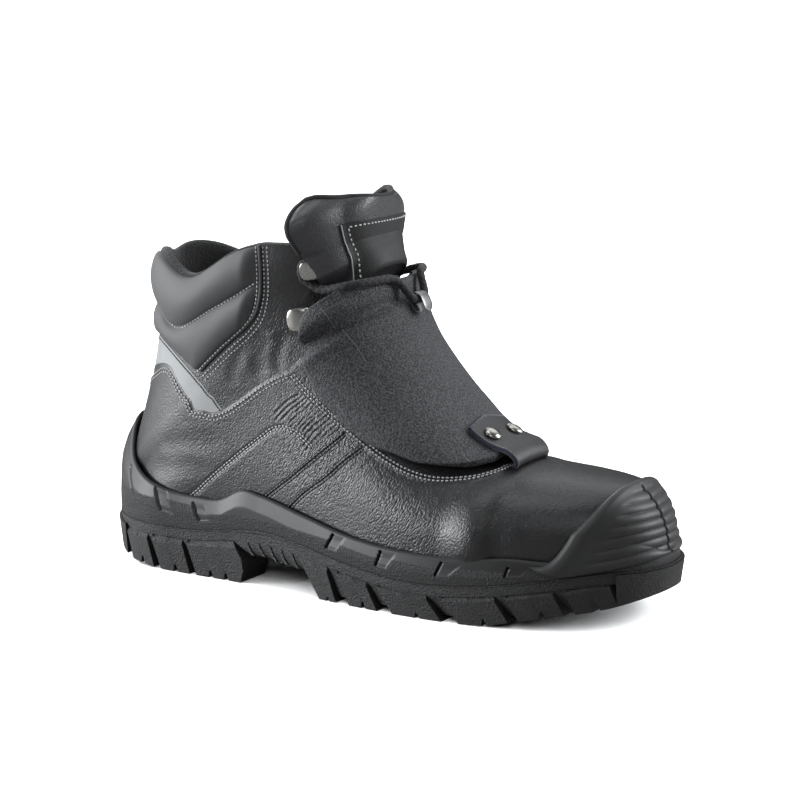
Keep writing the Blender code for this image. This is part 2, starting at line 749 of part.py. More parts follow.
RIVET_RADIUS = 4.2
RIVET_PROFILE = table("share rise", (1, 0), (1, 0.7), (0.8, 1.5), (0.45, 1.9))
RIVET_SIDES = 16
RIVETS = table("s y", (1.1, -9), (0.9, 9))
for number, (s, y) in enumerate(zip(*RIVETS.values()), 1):
    origin = guard_at(s, y, 3.5 * GAP + TAB_THICK)
    up = guard_at(s, y, 5) - guard_at(s, y, 0)
    origin, up, along, across = frame(origin, up, np.array([0, 1.0, 0]))
    points, faces = [], []
    for share, rise in zip(*RIVET_PROFILE.values()):
        for k in range(RIVET_SIDES):
            angle = 2 * math.pi * k / RIVET_SIDES
            spoke = along * math.cos(angle) + across * math.sin(angle)
            points.append(origin + spoke * RIVET_RADIUS * share + up * rise)
    for ring in range(3):
        for k in range(RIVET_SIDES):
            n = (k + 1) % RIVET_SIDES
            a, b = ring * RIVET_SIDES, (ring + 1) * RIVET_SIDES
            faces.append([a + k, a + n, b + n, b + k])
    faces.append(list(range(RIVET_SIDES)))
    faces.append(list(range(3 * RIVET_SIDES, 4 * RIVET_SIDES)))
    solid(f"tab_rivet_{number}", points, faces, NICKEL)


# Lace hooks: bent metal plates along both facings, open to the back, and one hook on the guard.
HOOK_ROWS = (17.0, 13.95, 10.9, 9.35, 8.15)  # sections of the upper that hold hooks
HOOK_BACK = 7.0  # from the facing edge to the middle of a hook
HOOK_PROFILE = table(
    "out rise",
    (-5, 0),
    (4.5, 0),
    (4.5, 1),
    (-3.6, 1),
    (-3.6, 4.1),
    (5.5, 4.3),
    (5.5, 5.1),
    (-4.3, 4.9),
    (-5, 4.3),
)
HOOK_SLICES = table("along share", (-4.6, 0.5), (-3.0, 1), (3.0, 1), (4.6, 0.5))
TALL = 1.3  # hooks that hold the thicker loop


def hook(name, origin, up, out, tall=1.0):
    """Bent plate: out points to the open side."""
    origin, up, out, along = frame(origin, up, out)
    points, faces = [], []
    count = len(HOOK_PROFILE["out"])
    for shift, share in zip(*HOOK_SLICES.values()):
        for o, r in zip(*HOOK_PROFILE.values()):
            reach = o if o < 0 else o * share
            rise = r if r <= 1 else r * tall
            points.append(origin + along * shift + out * reach + up * rise)
    slices = len(HOOK_SLICES["along"])
    for i in range(slices - 1):
        for k in range(count):
            n = (k + 1) % count
            a, b = i * count, (i + 1) * count
            faces.append([a + k, a + n, b + n, b + k])
    faces.append(list(range(count)))
    faces.append(list(range((slices - 1) * count, slices * count)))
    return solid(name, points, faces, NICKEL)


def hook_place(number, side):
    """Row and share of the upper at the middle of one hook."""
    row = HOOK_ROWS[number]
    return row, throat_u(row, side) + HOOK_BACK / section(row, side)[5]


def facing(number, side):
    """Place of one hook on its facing, with the way out of the leather and to the back."""
    row, u = hook_place(number, side)
    up = normal(row, u, side)
    back = surface(row, min(u + 0.03, 1), side) - surface(row, u, side)
    return skin(row, u, side, 0.5), up, unit(back)


for side, word in ((LATERAL, "lateral"), (MEDIAL, "medial")):
    for number in range(len(HOOK_ROWS)):
        origin, up, back = facing(number, side)
        tall = TALL if number == 0 else 1.0
        hook(f"lace_hook_{word}_{number + 1}", origin, up, back, tall)
GUARD_HOOK_S = 7.15  # place up the guard's ridge
GUARD_HOOK_TURN = 16  # degrees to the inner side
origin = guard(GUARD_HOOK_S, GUARD_HOOK_TURN, 0.4)
up = guard(GUARD_HOOK_S, GUARD_HOOK_TURN, 5) - guard(GUARD_HOOK_S, GUARD_HOOK_TURN)
down = guard(GUARD_HOOK_S - 0.4, GUARD_HOOK_TURN) - guard(GUARD_HOOK_S, GUARD_HOOK_TURN)
hook("guard_hook", origin, up, down, TALL)


# Lace: two strands cross from hook to hook under the guard, joined in one solid.
LACE_RADIUS = 1.35
LOOP_RADIUS = 1.9
LACE_SIDES = 5
LOOP_SIDES = 6


def tube(path, radius, sides):
    """Closed tube along a path of points."""
    path = np.array(path)
    way = np.gradient(path, axis=0)
    points, faces = [], []
    upright = np.array([0.3, 0.2, 1.0])
    for centre, run in zip(path, way):
        run = unit(run)
        across = unit(np.cross(run, upright))
        upright = np.cross(across, run)
        for k in range(sides):
            angle = 2 * math.pi * k / sides
            spoke = across * math.cos(angle) + upright * math.sin(angle)
            points.append(centre + spoke * radius)
    for i in range(len(path) - 1):
        for k in range(sides):
            n = (k + 1) % sides
            a, b = i * sides, (i + 1) * sides
            faces.append([a + k, a + n, b + n, b + k])
    faces.append(list(range(sides)))
    faces.append(list(range((len(path) - 1) * sides, len(path) * sides)))
    return np.array(points), faces


def rounded(path, times):
    """Path with its corners cut."""
    path = np.array(path)
    for _ in range(times):
        near = path[:-1] * 0.75 + path[1:] * 0.25
        far = path[:-1] * 0.25 + path[1:] * 0.75
        inner = np.stack([near, far], 1).reshape(-1, 3)
        path = np.concatenate([path[:1], inner[1:-1], path[-1:]])
    return path


LACE_NECK = 2.55
LOOP_NECK = 3.15
LACE_LIFT = 2.2
TURN = 7.0  # space the lace takes to each side of a hook


def around(origin, up, out, along, neck):
    """Turn of the lace behind the neck of a hook, at a height over its base."""
    middle = origin + up * neck
    return [
        middle - out * 7.0 - along * TURN,
        middle + out * 0.2 - along * TURN,
        middle + out * 0.2 + along * TURN,
        middle - out * 7.0 + along * TURN,
    ]


def around_facing(number, side, neck):
    """Turn round a hook of the facing, taken upward."""
    origin, up, back = facing(number, side)
    rising = np.cross(up, back)
    return around(origin, up, back, rising if rising[2] > 0 else -rising, neck)


def over_tongue(start, end, lift):
    """Strand over the tongue between two hooks, given by hook number and side."""
    ends = [hook_place(*start), hook_place(*end)]
    first = start[1] * (ends[0][1] - 0.1)
    final = end[1] * (ends[1][1] - 0.1)
    path = []
    for share in (0.2, 0.5, 0.8):
        u = first + (final - first) * share
        row = ends[0][0] + (ends[1][0] - ends[0][0]) * share
        path.append(skin(row, abs(u), LATERAL if u < 0 else MEDIAL, lift))
    return path


strands = []
for begin in (LATERAL, MEDIAL):
    path = over_tongue((4, -begin), (4, begin), LACE_LIFT)[begin == MEDIAL:]
    side = begin
    for number in (4, 3, 2):
        path += around_facing(number, side, LACE_NECK)
        path += over_tongue((number, side), (number - 1, -side), LACE_LIFT + 0.4 * (begin == MEDIAL))
        side = -side
    path += around_facing(1, side, LACE_NECK)[:3]
    strands.append(rounded(path, 1))
lace = solid("lace", *tube(strands[0], LACE_RADIUS, LACE_SIDES), BLACK_CORD)
other_lace = solid("lace_helper", *tube(strands[1], LACE_RADIUS * 0.97, LACE_SIDES), BLACK_CORD)
boolean(lace, "UNION", other_lace)

# Lace loop: one strand from the top hook of each facing round the hook on the guard.
LOOP_REST = table("row u lift", (16.4, 0.22, 1.4), (15.4, 0.12, 0.6))
GUARD_RIM_LIFT = 3.2


def half_loop(side):
    """Strand from one top hook to its side of the guard hook."""
    start = around_facing(0, side, LOOP_NECK)[::-1]
    start[0] = start[0] + (start[1] - start[0]) * 0.4
    rest = [skin(row, u, side, lift) for row, u, lift in zip(*LOOP_REST.values())]
    rim = guard(8, GUARD_HOOK_TURN + side * 9, GUARD_RIM_LIFT) + (0, 0, 1.5)
    return start + rest + [rim]


origin, up, out, across = frame(origin, up, down)
across *= math.copysign(1, across[1])
turned = around(origin, up, out, across, LOOP_NECK)
loop = rounded(half_loop(LATERAL) + turned + half_loop(MEDIAL)[::-1], 1)
solid("lace_loop", *tube(loop, LOOP_RADIUS, LOOP_SIDES), BLACK_CORD)
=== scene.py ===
"""Looks of a black safety shoe for the right foot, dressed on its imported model.

Sizes are in millimetres in the shoe's own frame: x from heel back to toe tip, y to the inner side,
z up from the floor. The pieces follow the order in which the shoe is put together.
"""

import functools
import math

import bmesh
import bpy
import numpy as np
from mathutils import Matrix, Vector


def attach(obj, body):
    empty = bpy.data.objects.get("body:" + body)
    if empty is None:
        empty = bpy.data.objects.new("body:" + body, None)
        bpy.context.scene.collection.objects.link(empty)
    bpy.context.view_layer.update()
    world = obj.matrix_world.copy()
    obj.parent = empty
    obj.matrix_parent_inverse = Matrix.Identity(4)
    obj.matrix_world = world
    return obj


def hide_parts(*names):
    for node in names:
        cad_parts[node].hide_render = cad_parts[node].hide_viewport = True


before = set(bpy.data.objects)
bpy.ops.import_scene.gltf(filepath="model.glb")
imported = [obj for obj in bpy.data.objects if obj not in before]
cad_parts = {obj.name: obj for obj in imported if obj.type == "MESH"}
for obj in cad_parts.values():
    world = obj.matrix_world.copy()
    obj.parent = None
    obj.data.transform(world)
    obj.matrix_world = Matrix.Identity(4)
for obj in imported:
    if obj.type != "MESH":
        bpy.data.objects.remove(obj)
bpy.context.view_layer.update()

# Outsole slab: the lower rubber moulding under the parting line, a closed stack of sole outlines.
# It is glued under the midsole and carries the lugs.
MM = 0.001
LENGTH = 302.0  # of the sole
LATERAL, MEDIAL = -1, 1  # outer and inner side of the foot
SIDES = LATERAL, MEDIAL
HEEL_ROUND = 46.0  # length of the rounded heel end
TOE_ROUND = 74.0  # length of the rounded toe end
RUBBER_BLACK = (0.012, 0.012, 0.0125, 1)


def table(names, *rows):
    """Columns by name from rows of numbers."""
    return dict(zip(names.split(), np.array(rows, float).T))


def rows_of(columns):
    """Rows of a table of columns."""
    return list(zip(*columns.values()))


def smooth(columns, name, at, along="x"):
    """Smooth curve through one column of a table."""
    knots, values = columns[along], columns[name]
    step = np.diff(knots)
    rise = np.diff(values) / step
    inner = (rise[:-1] * step[1:] + rise[1:] * step[:-1]) / (step[:-1] + step[1:])
    slope = np.concatenate([rise[:1], inner, rise[-1:]])
    at = np.clip(at, knots[0], knots[-1])
    i = np.clip(np.searchsorted(knots, at) - 1, 0, len(step) - 1)
    t = (at - knots[i]) / step[i]
    start = values[i] * (1 + 2 * t) + slope[i] * step[i] * t
    end = values[i + 1] * (3 - 2 * t) + slope[i + 1] * step[i] * (t - 1)
    return start * (1 - t) ** 2 + end * t * t


OUTLINE = table(
    "x lateral medial",
    (0, 36.5, 36.5),
    (25, 37.5, 37),
    (60, 38.5, 36.5),
    (95, 41, 34.5),
    (130, 46, 37),
    (160, 51, 43.5),
    (190, 54, 50.5),
    (215, 54, 54),
    (240, 51.5, 54),
    (270, 47, 51.5),
    (302, 42, 48),
)
HEIGHTS = table(
    "x ground parting rim feather",
    (0, 10, 24.5, 71, 31),
    (4, 7.8, 23.8, 61.5, 31),
    (10, 5.2, 22.8, 53.5, 31),
    (18, 3, 22.2, 48.5, 31),
    (39, 0.7, 22.2, 41.5, 31),
    (64, 0, 22.5, 39, 31),
    (76, 0, 24, 39.5, 31),
    (91, 0, 26, 46, 31.5),
    (103, 0, 27, 44.5, 31.5),
    (128, 0, 24.5, 39, 29),
    (158, 0, 19.5, 33, 25),
    (187, 0, 16.5, 30.5, 22),
    (212, 0, 17, 30.5, 22),
    (228, 0.5, 18.7, 31.5, 23.5),
    (245, 3.5, 21.2, 32.7, 25.5),
    (262, 7, 24, 32, 26.5),
    (282, 10.5, 27, 31.5, 27.5),
    (302, 16.5, 28, 33.5, 29.5),
)


def height(name, x):
    """Height of one line of the sole at x, never under the floor."""
    return np.maximum(smooth(HEIGHTS, name, x), 0.0)


def edge(x, side, inset=0.0):
    """Half width of the sole at x, drawn in by an inset."""
    wide = smooth(OUTLINE, "lateral" if side == LATERAL else "medial", x)
    heel = np.clip((x - inset) / (HEEL_ROUND - inset), 0, 1)
    toe = np.clip((LENGTH - inset - x) / (TOE_ROUND - inset), 0, 1)
    heel_round = (1 - (1 - heel) ** 2.1) ** (1 / 2.1)
    toe_round = (1 - (1 - toe) ** 2.3) ** (1 / 2.3)
    return np.maximum(wide - inset, 0) * heel_round * toe_round


def outline_loop(along, inset, z, lean):
    """Points round the sole: out along the outer side to the toe and back along the inner side."""
    x = inset + (LENGTH - 2 * inset) * along
    leaned = x + lean * np.clip(1 - x / HEEL_ROUND, 0, 1) ** 1.5
    outer, inner = (np.stack([leaned, side * edge(x, side, inset), z], 1) for side in SIDES)
    return np.concatenate([outer, inner[::-1]])


def grid_faces(rows, columns, start=0, closed=False):
    """Four-sided faces of a grid of points stored row by row."""
    i, j = np.meshgrid(np.arange(rows - 1), np.arange(columns - 1 + closed), indexing="ij")
    a, b = i * columns + j, i * columns + (j + 1) % columns
    return (start + np.stack([a, b, b + columns, a + columns], -1)).reshape(-1, 4).tolist()


def stack_faces(levels, count):
    """Faces of a closed stack of sole outlines with a flat cap at each end."""
    faces = grid_faces(levels, 2 * count, closed=True)
    for base in (0, (levels - 1) * 2 * count):
        for k in range(count - 1):
            faces.append([base + k, base + k + 1, base + 2 * count - 2 - k, base + 2 * count - 1 - k])
    return faces


def shoe_piece(name, points, faces, material, slot, nodes=(), sharp=40):
    """Mesh object of the shoe, welded and turned outward, which stands for the CAD nodes named."""
    mesh = bpy.data.meshes.new(name)
    points = (np.asarray(points, float).reshape(-1, 3) - (LENGTH / 2, 0, 0)) * MM
    mesh.from_pydata(points.tolist(), [], faces)
    work = bmesh.new()
    work.from_mesh(mesh)
    bmesh.ops.remove_doubles(work, verts=work.verts, dist=0.01 * MM)
    bmesh.ops.recalc_face_normals(work, faces=work.faces)
    work.to_mesh(mesh)
    work.free()
    mesh.shade_smooth()
    mesh.set_sharp_from_angle(angle=math.radians(sharp))
    mesh.materials.append(material)
    made = bpy.data.objects.new(name, mesh)
    bpy.context.scene.collection.objects.link(made)
    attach(made, "root")
    if nodes:
        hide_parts(*nodes)
    return made


def add(tree, kind, inputs=(), **settings):
    """New shader node with its settings, and with values or links at its inputs."""
    node = tree.nodes.new("ShaderNode" + kind)
    for key, value in settings.items():
        setattr(node, key, value)
    for key, value in dict(inputs).items():
        if isinstance(value, bpy.types.NodeSocket):
            tree.links.new(value, node.inputs[key])
        else:
            node.inputs[key].default_value = value
    return node


def math_node(tree, operation, first, second=0.0):
    """Result of arithmetic on two values."""
    return add(tree, "Math", {0: first, 1: second}, operation=operation).outputs[0]


def new_group(name, takes, gives):
    """Empty shader group with named inputs and outputs, and its two end nodes."""
    tree = bpy.data.node_groups.new(name, "ShaderNodeTree")
    for key, value in takes.items():
        socket = tree.interface.new_socket(key, in_out="INPUT", socket_type="NodeSocketFloat")
        socket.default_value = value
    for key in gives:
        tree.interface.new_socket(key, in_out="OUTPUT", socket_type="NodeSocketFloat")
    return tree, tree.nodes.new("NodeGroupInput").outputs, tree.nodes.new("NodeGroupOutput").inputs


def millimetres(tree):
    """Place on the piece in millimetres."""
    place = add(tree, "TexCoord").outputs["Object"]
    return add(tree, "VectorMath", {0: place, 3: 1 / MM}, operation="SCALE").outputs[0]


def new_material(name, **sockets):
    """Material with values on its surface shader; returns it with its node tree and that shader."""
    made = bpy.data.materials.new(name)
    made.use_nodes = True
    shader = made.node_tree.nodes["Principled BSDF"]
    for key, value in sockets.items():
        shader.inputs[key.replace("_", " ")].default_value = value
    return made, made.node_tree, shader


def use_group(tree, group, inputs=()):
    """Outputs of a shader group placed in a material with its own values."""
    return add(tree, "Group", inputs, node_tree=group).outputs


moulded, given, taken = new_group("Moulded grain", {"Size": 0.5}, ("Height", "Patches"))
place = millimetres(moulded)
per_size = math_node(moulded, "DIVIDE", 1.0, given["Size"])
speckle = add(moulded, "TexNoise", {"Vector": place, "Scale": per_size, "Detail": 2.0}).outputs["Fac"]
moulded.links.new(speckle, taken["Height"])
cloud = add(moulded, "TexNoise", {"Vector": place, "Scale": 0.06, "Detail": 4.0}).outputs["Fac"]
moulded.links.new(cloud, taken["Patches"])


def grain_mix(tree, mask, low, high):
    """Value that runs from low to high with a mask."""
    return add(tree, "MapRange", {"Value": mask, "To Min": low, "To Max": high}).outputs[0]


def add_bump(tree, shader, pattern, strength, deep):
    """Bump on a surface shader, its depth in millimetres."""
    bump = add(tree, "Bump", {"Height": pattern, "Strength": strength, "Distance": deep * MM})
    tree.links.new(bump.outputs[0], shader.inputs["Normal"])


def fine_grained(name, size, strength=0.0, deep=0.0, rough=None, **sockets):
    """Material with the moulded grain at a size, as a bump and as a range of roughness."""
    made, tree, shader = new_material(name, **sockets)
    grain = use_group(tree, moulded, {"Size": size})
    if rough:
        tree.links.new(grain_mix(tree, grain["Patches"], *rough), shader.inputs["Roughness"])
    if strength:
        add_bump(tree, shader, grain["Height"], strength, deep)
    return made


SOLE_GRAIN = 0.8  # size of the grain and depth of its bump
rubber = fine_grained(
    "sole rubber", SOLE_GRAIN, 1.0, SOLE_GRAIN, (0.5, 0.66), Base_Color=RUBBER_BLACK, Roughness=0.5
)

SLAB = 5.5  # thickness of the slab
ARCH = table("x deeper", (86, 0), (95, 6), (105, 6.5), (118, 7), (129, 6), (138, 1), (144, 0))
SLAB_INSET = 0.9
ALONG = (1 - np.cos(np.linspace(0, math.pi, 160))) / 2  # places along the sole, closer at both ends


def underside(x):
    """Height of the slab's underside, which is lower under the arch."""
    return height("parting", x) - SLAB - smooth(ARCH, "deeper", x)


parting = height("parting", ALONG * LENGTH)
thick = parting - underside(ALONG * LENGTH)
slab_levels = ((2.2, 1), (1.1, 0.88), (SLAB_INSET, 0.5), (SLAB_INSET, 0.09), (0.45, 0.05), (0.45, -0.03))
points = [outline_loop(ALONG, inset, parting - thick * share, 0) for inset, share in slab_levels]
shoe_piece("outsole", points, stack_faces(len(points), len(ALONG)), rubber, "sole", ["outsole"])


# Lugs: rubber blocks under the slab, which lean forward and have sipes cut into their tread ends.
# They are one moulding with the slab; the side lugs stand proud of it, with walls set back in the
# narrow gaps between them and curved ribs on the arch.
LUG_INSET = -0.6  # the side lugs stand out of the sole outline
LUG_DRAFT = 1.6  # and are drawn in that much at the tread
LUG_REACH = 24.0  # how far a side lug goes in under the sole
GAP_FLOOR = 3.0  # the walls between the lugs end that far over the ground
GAP_WIDEST = 12.0  # wider gaps have no wall
GAP_THICK = 14.0  # of a wall
SIPE_HALF = 1.0
SIPE_DEEP = 3.5
SIDE_LUGS = table(
    "start end lean_back lean_front belly",
    (17.5, 33.6, 4, 5, 0),
    (36.6, 55.2, 5, 5.5, 0),
    (58.2, 85.5, 5, 6, 4.5),
    (127, 144.3, 12, 6.5, 0),
    (150.2, 167.7, 7, 7.5, 0),
    (174.2, 200.8, 8, 9.5, 0),
    (208.6, 235.2, 9, 8, 0),
    (240.5, 261.5, 6, 6, 0),
    (266.5, 284, 4, 4, 0),
)
LUG_ROOT = 4.4  # below the parting line
CENTRE_LUGS = table(
    "x long wide",
    (28, 5, 9),
    (47, 5, 9),
    (70, 7, 9),
    (146, 5, 12),
    (166, 6, 17),
    (190, 7, 20),
    (216, 7, 22),
    (241, 6, 20),
    (264, 5, 15),
)
ARCH_RIBS = (94, 101, 108, 115, 122)
HEEL_LUG = (16.5, LUG_INSET, 3.5)  # start, end, and depth of its root under the parting line
TOE_LUG = (287.0, LENGTH - LUG_INSET, 0.8)


def shell(outer, inner):
    """Points and faces of a closed sheet between two matching grids."""
    rows, columns = outer.shape[:2]
    count = rows * columns
    index = np.arange(count).reshape(rows, columns)
    front = np.array(grid_faces(rows, columns))
    border = np.concatenate([index[0, :-1], index[:-1, -1], index[-1, :0:-1], index[:0:-1, 0]])
    following = np.roll(border, -1)
    walls = np.stack([border, border + count, following + count, following], 1)
    points = np.concatenate([outer.reshape(-1, 3), inner.reshape(-1, 3)])
    return points, np.concatenate([front, front[:, ::-1] + count, walls]).tolist()


def join(parts):
    """Points and faces of many small meshes as one."""
    points, faces, base = [], [], 0
    for some_points, some_faces in parts:
        points.append(np.asarray(some_points).reshape(-1, 3))
        faces += [[corner + base for corner in face] for face in some_faces]
        base += len(points[-1])
    return np.concatenate(points), faces


def side_lug(start, end, lean_back, lean_front, belly, side):
    """Block at one side of the tread, with one or two sipes; its ends lean, and the front may bulge."""
    middles = (0.34, 0.67) if belly else (0.52,)
    low_x, lift = [start + 0.8], [0.0]
    for share in middles:
        middle = start + (end - start) * share
        low_x += [(low_x[-1] + middle) / 2 - 0.6]
        low_x += [middle - SIPE_HALF - 0.3, middle - SIPE_HALF, middle, middle + SIPE_HALF + 0.5]
        lift += [0, 0, SIPE_DEEP, SIPE_DEEP, 0]
    low_x += [(low_x[-1] + end) / 2, end - 0.8]
    lift += [0, 0]
    low_x, lift = np.array(low_x), np.array(lift)
    top_x = start + (low_x - low_x[0]) * (end - start) / (low_x[-1] - low_x[0])
    along = (top_x - start) / (end - start)
    lean = lean_back + (lean_front - lean_back) * along
    root = height("parting", top_x) - LUG_ROOT
    outer, inner = [], []
    for way, back in ((0, 2.8), (0.17, 0), (0.4, 0), (0.7, 0), (1, 0)):
        x = top_x + (low_x + lean - top_x) * way + belly * along**4 * math.sin(math.pi * way)
        z = root + (height("ground", low_x + lean) + lift - root) * way
        y = edge(x, side, LUG_INSET + LUG_DRAFT * way + back)
        deep = np.maximum(y - LUG_REACH + 2 * way, 15 + way)
        outer.append(np.stack([x, side * y, z], 1))
        inner.append(np.stack([x, side * deep, z], 1))
    return shell(np.array(outer), np.array(inner))


def gap_wall(before, after, side):
    """Wall of the gap between two side lugs, which comes forward to the second one."""
    across = np.linspace(0, 1, 8)
    top_x = before[1] - 1 + (after[0] - before[1] + 2) * across
    low_x = top_x + before[3] + (after[2] - before[3]) * across
    root = height("parting", top_x) - LUG_ROOT - 0.5
    outer, inner = [], []
    for way in np.linspace(0, 1, 5):
        x = top_x + (low_x - top_x) * way
        z = root + (height("ground", low_x) + GAP_FLOOR - root) * way
        y = edge(x, side, 0.4 + 2 * way + 1.6 * (1 - across) ** 2)
        outer.append(np.stack([x, side * y, z], 1))
        inner.append(np.stack([x, side * (y - GAP_THICK), z], 1))
    return shell(np.array(outer), np.array(inner))


def centre_lug(x, long, wide):
    """Six-sided block in the middle of the tread."""
    room = float(min(edge(x, LATERAL), edge(x, MEDIAL))) - LUG_REACH - 5
    wide = min(wide, max(room, 9.0))
    loops = []
    for draft, name in ((0, "parting"), (1, "ground")):
        loop_x = x + (long - draft) * np.array([-1, -1, 0, 1, 1, 0])
        loop_y = (wide - draft) * np.array([-0.7, 0.7, 1, 0.7, -0.7, -1])
        loops.append(np.stack([loop_x, loop_y, height(name, loop_x) - (0 if draft else SLAB - 2)], 1))
    return np.concatenate(loops), grid_faces(2, 6, closed=True) + [list(range(6)), list(range(6, 12))]


def end_lug(start, end, drop):
    """Block that follows the rounded heel or toe from side to side."""
    loops = []
    for draft, name in ((0, "parting"), (LUG_DRAFT, "ground")):
        way = np.sin(np.linspace(0, math.pi / 2, 14))
        x = start + (end + math.copysign(draft, start - end) - start) * way
        outer, inner = -edge(x, LATERAL, LUG_INSET + draft), edge(x, MEDIAL, LUG_INSET + draft)
        loop_x = np.concatenate([x, x[-2::-1]])
        loop_y = np.concatenate([outer, inner[-2::-1]])
        loop_y[len(x) - 1] = 0
        loops.append(np.stack([loop_x, loop_y, height(name, loop_x) - (0 if draft else drop)], 1))
    count = len(loops[0])
    caps = [list(range(count)), list(range(count, 2 * count))]
    return np.concatenate(loops), grid_faces(2, count, closed=True) + caps


def arch_rib(start, side):
    """Curved slanted rib on the side wall of the arch."""
    x = start + np.array([0, 0.8, 2.2, 4.2])[:, None] + np.array([0, 1.7])
    top = height("parting", x) - 5.5
    z = top + (underside(x) + 0.4 - top) * np.linspace(0, 1, 4)[:, None]
    y = edge(x, side, SLAB_INSET - 0.45)
    return shell(np.stack([x, side * y, z], -1), np.stack([x, side * (y - 6), z], -1))


rows = rows_of(SIDE_LUGS)
parts = [side_lug(*row, side) for row in rows for side in SIDES]
parts += [centre_lug(*row) for row in rows_of(CENTRE_LUGS)]
parts += [end_lug(*HEEL_LUG), end_lug(*TOE_LUG)]
pairs = [pair for pair in zip(rows, rows[1:]) if pair[1][0] - pair[0][1] < GAP_WIDEST]
parts += [gap_wall(*pair, side) for pair in pairs for side in SIDES]
parts += [arch_rib(start, side) for start in ARCH_RIBS for side in SIDES]
lugs = shoe_piece("outsole_lugs", *join(parts), rubber, "sole", sharp=30)
rounding = lugs.modifiers.new("rounded edges", "BEVEL")
rounding.width = 0.45 * MM
rounding.segments = 2
rounding.limit_method = "ANGLE"
rounding.angle_limit = math.radians(38)
lugs.modifiers.new("even faces", "WEIGHTED_NORMAL").keep_sharp = True


# Midsole: the upper rubber moulding, a tray whose rim wraps the foot of the upper.
# A satin band along the rim steps down to a grained band; slanted slits and notches cut the side.
BLOCKS = table(  # back and front edge of each raised block, from top to foot
    "back_x back_z back_foot_x back_foot_z front_x front_z front_foot_x front_foot_z",
    (-20, 44, -20, 34, 13.5, 47.1, 22, 35.8),
    (16, 44, 22.5, 34, 37, 40.4, 42.4, 30.6),
    (46.2, 36.1, 50, 29, 61.4, 35.6, 65.5, 28.1),
    (70.4, 31.4, 72, 28.4, 147.8, 32.4, 144.3, 26.1),
    (154.5, 30.9, 150.5, 25.1, 176.4, 28.6, 174, 22.3),
    (184.3, 27.8, 179.7, 21.2, 209.7, 27.6, 206.6, 21.7),
    (221.4, 29, 213.5, 22.2, 242.9, 28.7, 241.1, 24.8),
    (256.1, 33.7, 248.6, 25.6, 330, 36, 330, 20),
)
BLOCK_TOP = table(
    "x z",
    (0, 43),
    (16, 38),
    (23.5, 36.4),
    (40, 35.8),
    (46.2, 36.1),
    (61.6, 34.6),
    (70.4, 31.4),
    (87.5, 33.6),
    (99.9, 33.4),
    (120.7, 32.2),
    (146.4, 29.7),
    (156, 27.9),
    (173.5, 25.4),
    (184.8, 25.9),
    (207.1, 24.9),
    (218, 25.8),
    (242, 26.6),
    (253, 29.5),
    (282, 28.5),
    (302, 30.5),
)
BLOCK_FOOT = table(
    "x z",
    (0, 34),
    (23, 35),
    (42.7, 30.2),
    (50, 29),
    (66.3, 27.6),
    (72, 28.4),
    (144.8, 25.8),
    (150.5, 25.1),
    (174.5, 22),
    (179.7, 21.2),
    (206.6, 21.7),
    (213.5, 22.2),
    (241, 24.8),
    (248.6, 25.6),
    (302, 31),
)
NOTCH_DEEP = 0.4
SLIT_HALF = 0.5  # half the width of a slit at a block's front
SLIT_DEEP = 1.8


def segment_distance(x, z, start, end):
    """Distance of points in a plane from a straight line between two points, and the share along it."""
    way = np.subtract(end, start)
    along = np.clip(((x - start[0]) * way[0] + (z - start[1]) * way[1]) / way.dot(way), 0, 1)
    return np.hypot(x - start[0] - along * way[0], z - start[1] - along * way[1]), along


def ease(value):
    """Soft step from 0 to 1."""
    value = np.clip(value, 0, 1)
    return value * value * (3 - 2 * value)


def side_of(x, z, top_x, top_z, foot_x, foot_z):
    """Distance of points in a plane from a line that runs down; positive to the toe side."""
    run, fall = foot_x - top_x, foot_z - top_z
    return ((x - top_x) * -fall + (z - top_z) * run) / math.hypot(run, fall)


def midsole_relief(x, z):
    """How far the side of the midsole stands out, and 1 where it is grained."""
    foot = np.interp(x, BLOCK_FOOT["x"], BLOCK_FOOT["z"])
    top = np.interp(x, BLOCK_TOP["x"], BLOCK_TOP["z"])
    blocks = rows_of(BLOCKS)
    within, cut = foot - z, 0.0
    for number, block in enumerate(blocks):
        back, front = block[:4], block[4:]
        inside = np.minimum(side_of(x, z, *back), -side_of(x, z, *front))
        within = np.maximum(within, np.minimum(inside, top - z))
        if number + 1 < len(blocks):
            ahead = np.minimum(side_of(x, z, *front), -side_of(x, z, *blocks[number + 1][:4]))
            notch = ease(0.5 + np.minimum(ahead, z - foot) / 0.5) * ease((front[1] + 1 - z) / 4)
            far, _ = segment_distance(x, z, front[:2], front[2:])
            cut = cut + np.maximum(NOTCH_DEEP * notch, SLIT_DEEP * ease(1.5 - far / SLIT_HALF))
    return -cut, ease(0.5 + within / 0.6)


SOLE_ALONG = (1 - np.cos(np.linspace(0, math.pi, 600))) / 4 + np.linspace(0, 0.5, 600)
SOLE_LEVELS = 36
flat_x = SOLE_ALONG * LENGTH
low, high, feather = height("parting", flat_x), height("rim", flat_x), height("feather", flat_x)
points = []
for share in np.linspace(0, 1, SOLE_LEVELS):
    z = low + 0.15 + (high - low - 0.15) * share
    inset = np.interp(z - low, (0.15, 0.9, 4, 10), (0.5, 0.3, 0.1, 0))
    inset = inset + np.interp(high - z, (0, 0.5, 1.2, 8), (2.6, 1.9, 1.5, 0))
    lean = np.interp(high - z, (0, 2, 6.5, 14, 26), (6.5, 6, 4, 0.8, 0))
    relief, _ = midsole_relief(flat_x, z)
    points.append(outline_loop(SOLE_ALONG, inset + 0.4 - relief, z, lean))
tray = ((3.6, high - 0.1, 6.5), (4.3, high - 0.7, 6.5), (5.1, high - 4, 5.5), (7, feather - 1, 0))
for inset, z, lean in tray:
    points.append(outline_loop(SOLE_ALONG, np.full_like(z, inset), z, lean))
band_rubber, tree, shader = new_material("midsole rubber", Base_Color=RUBBER_BLACK, Specular_IOR_Level=0.4)
grain = use_group(tree, moulded, {"Size": SOLE_GRAIN})
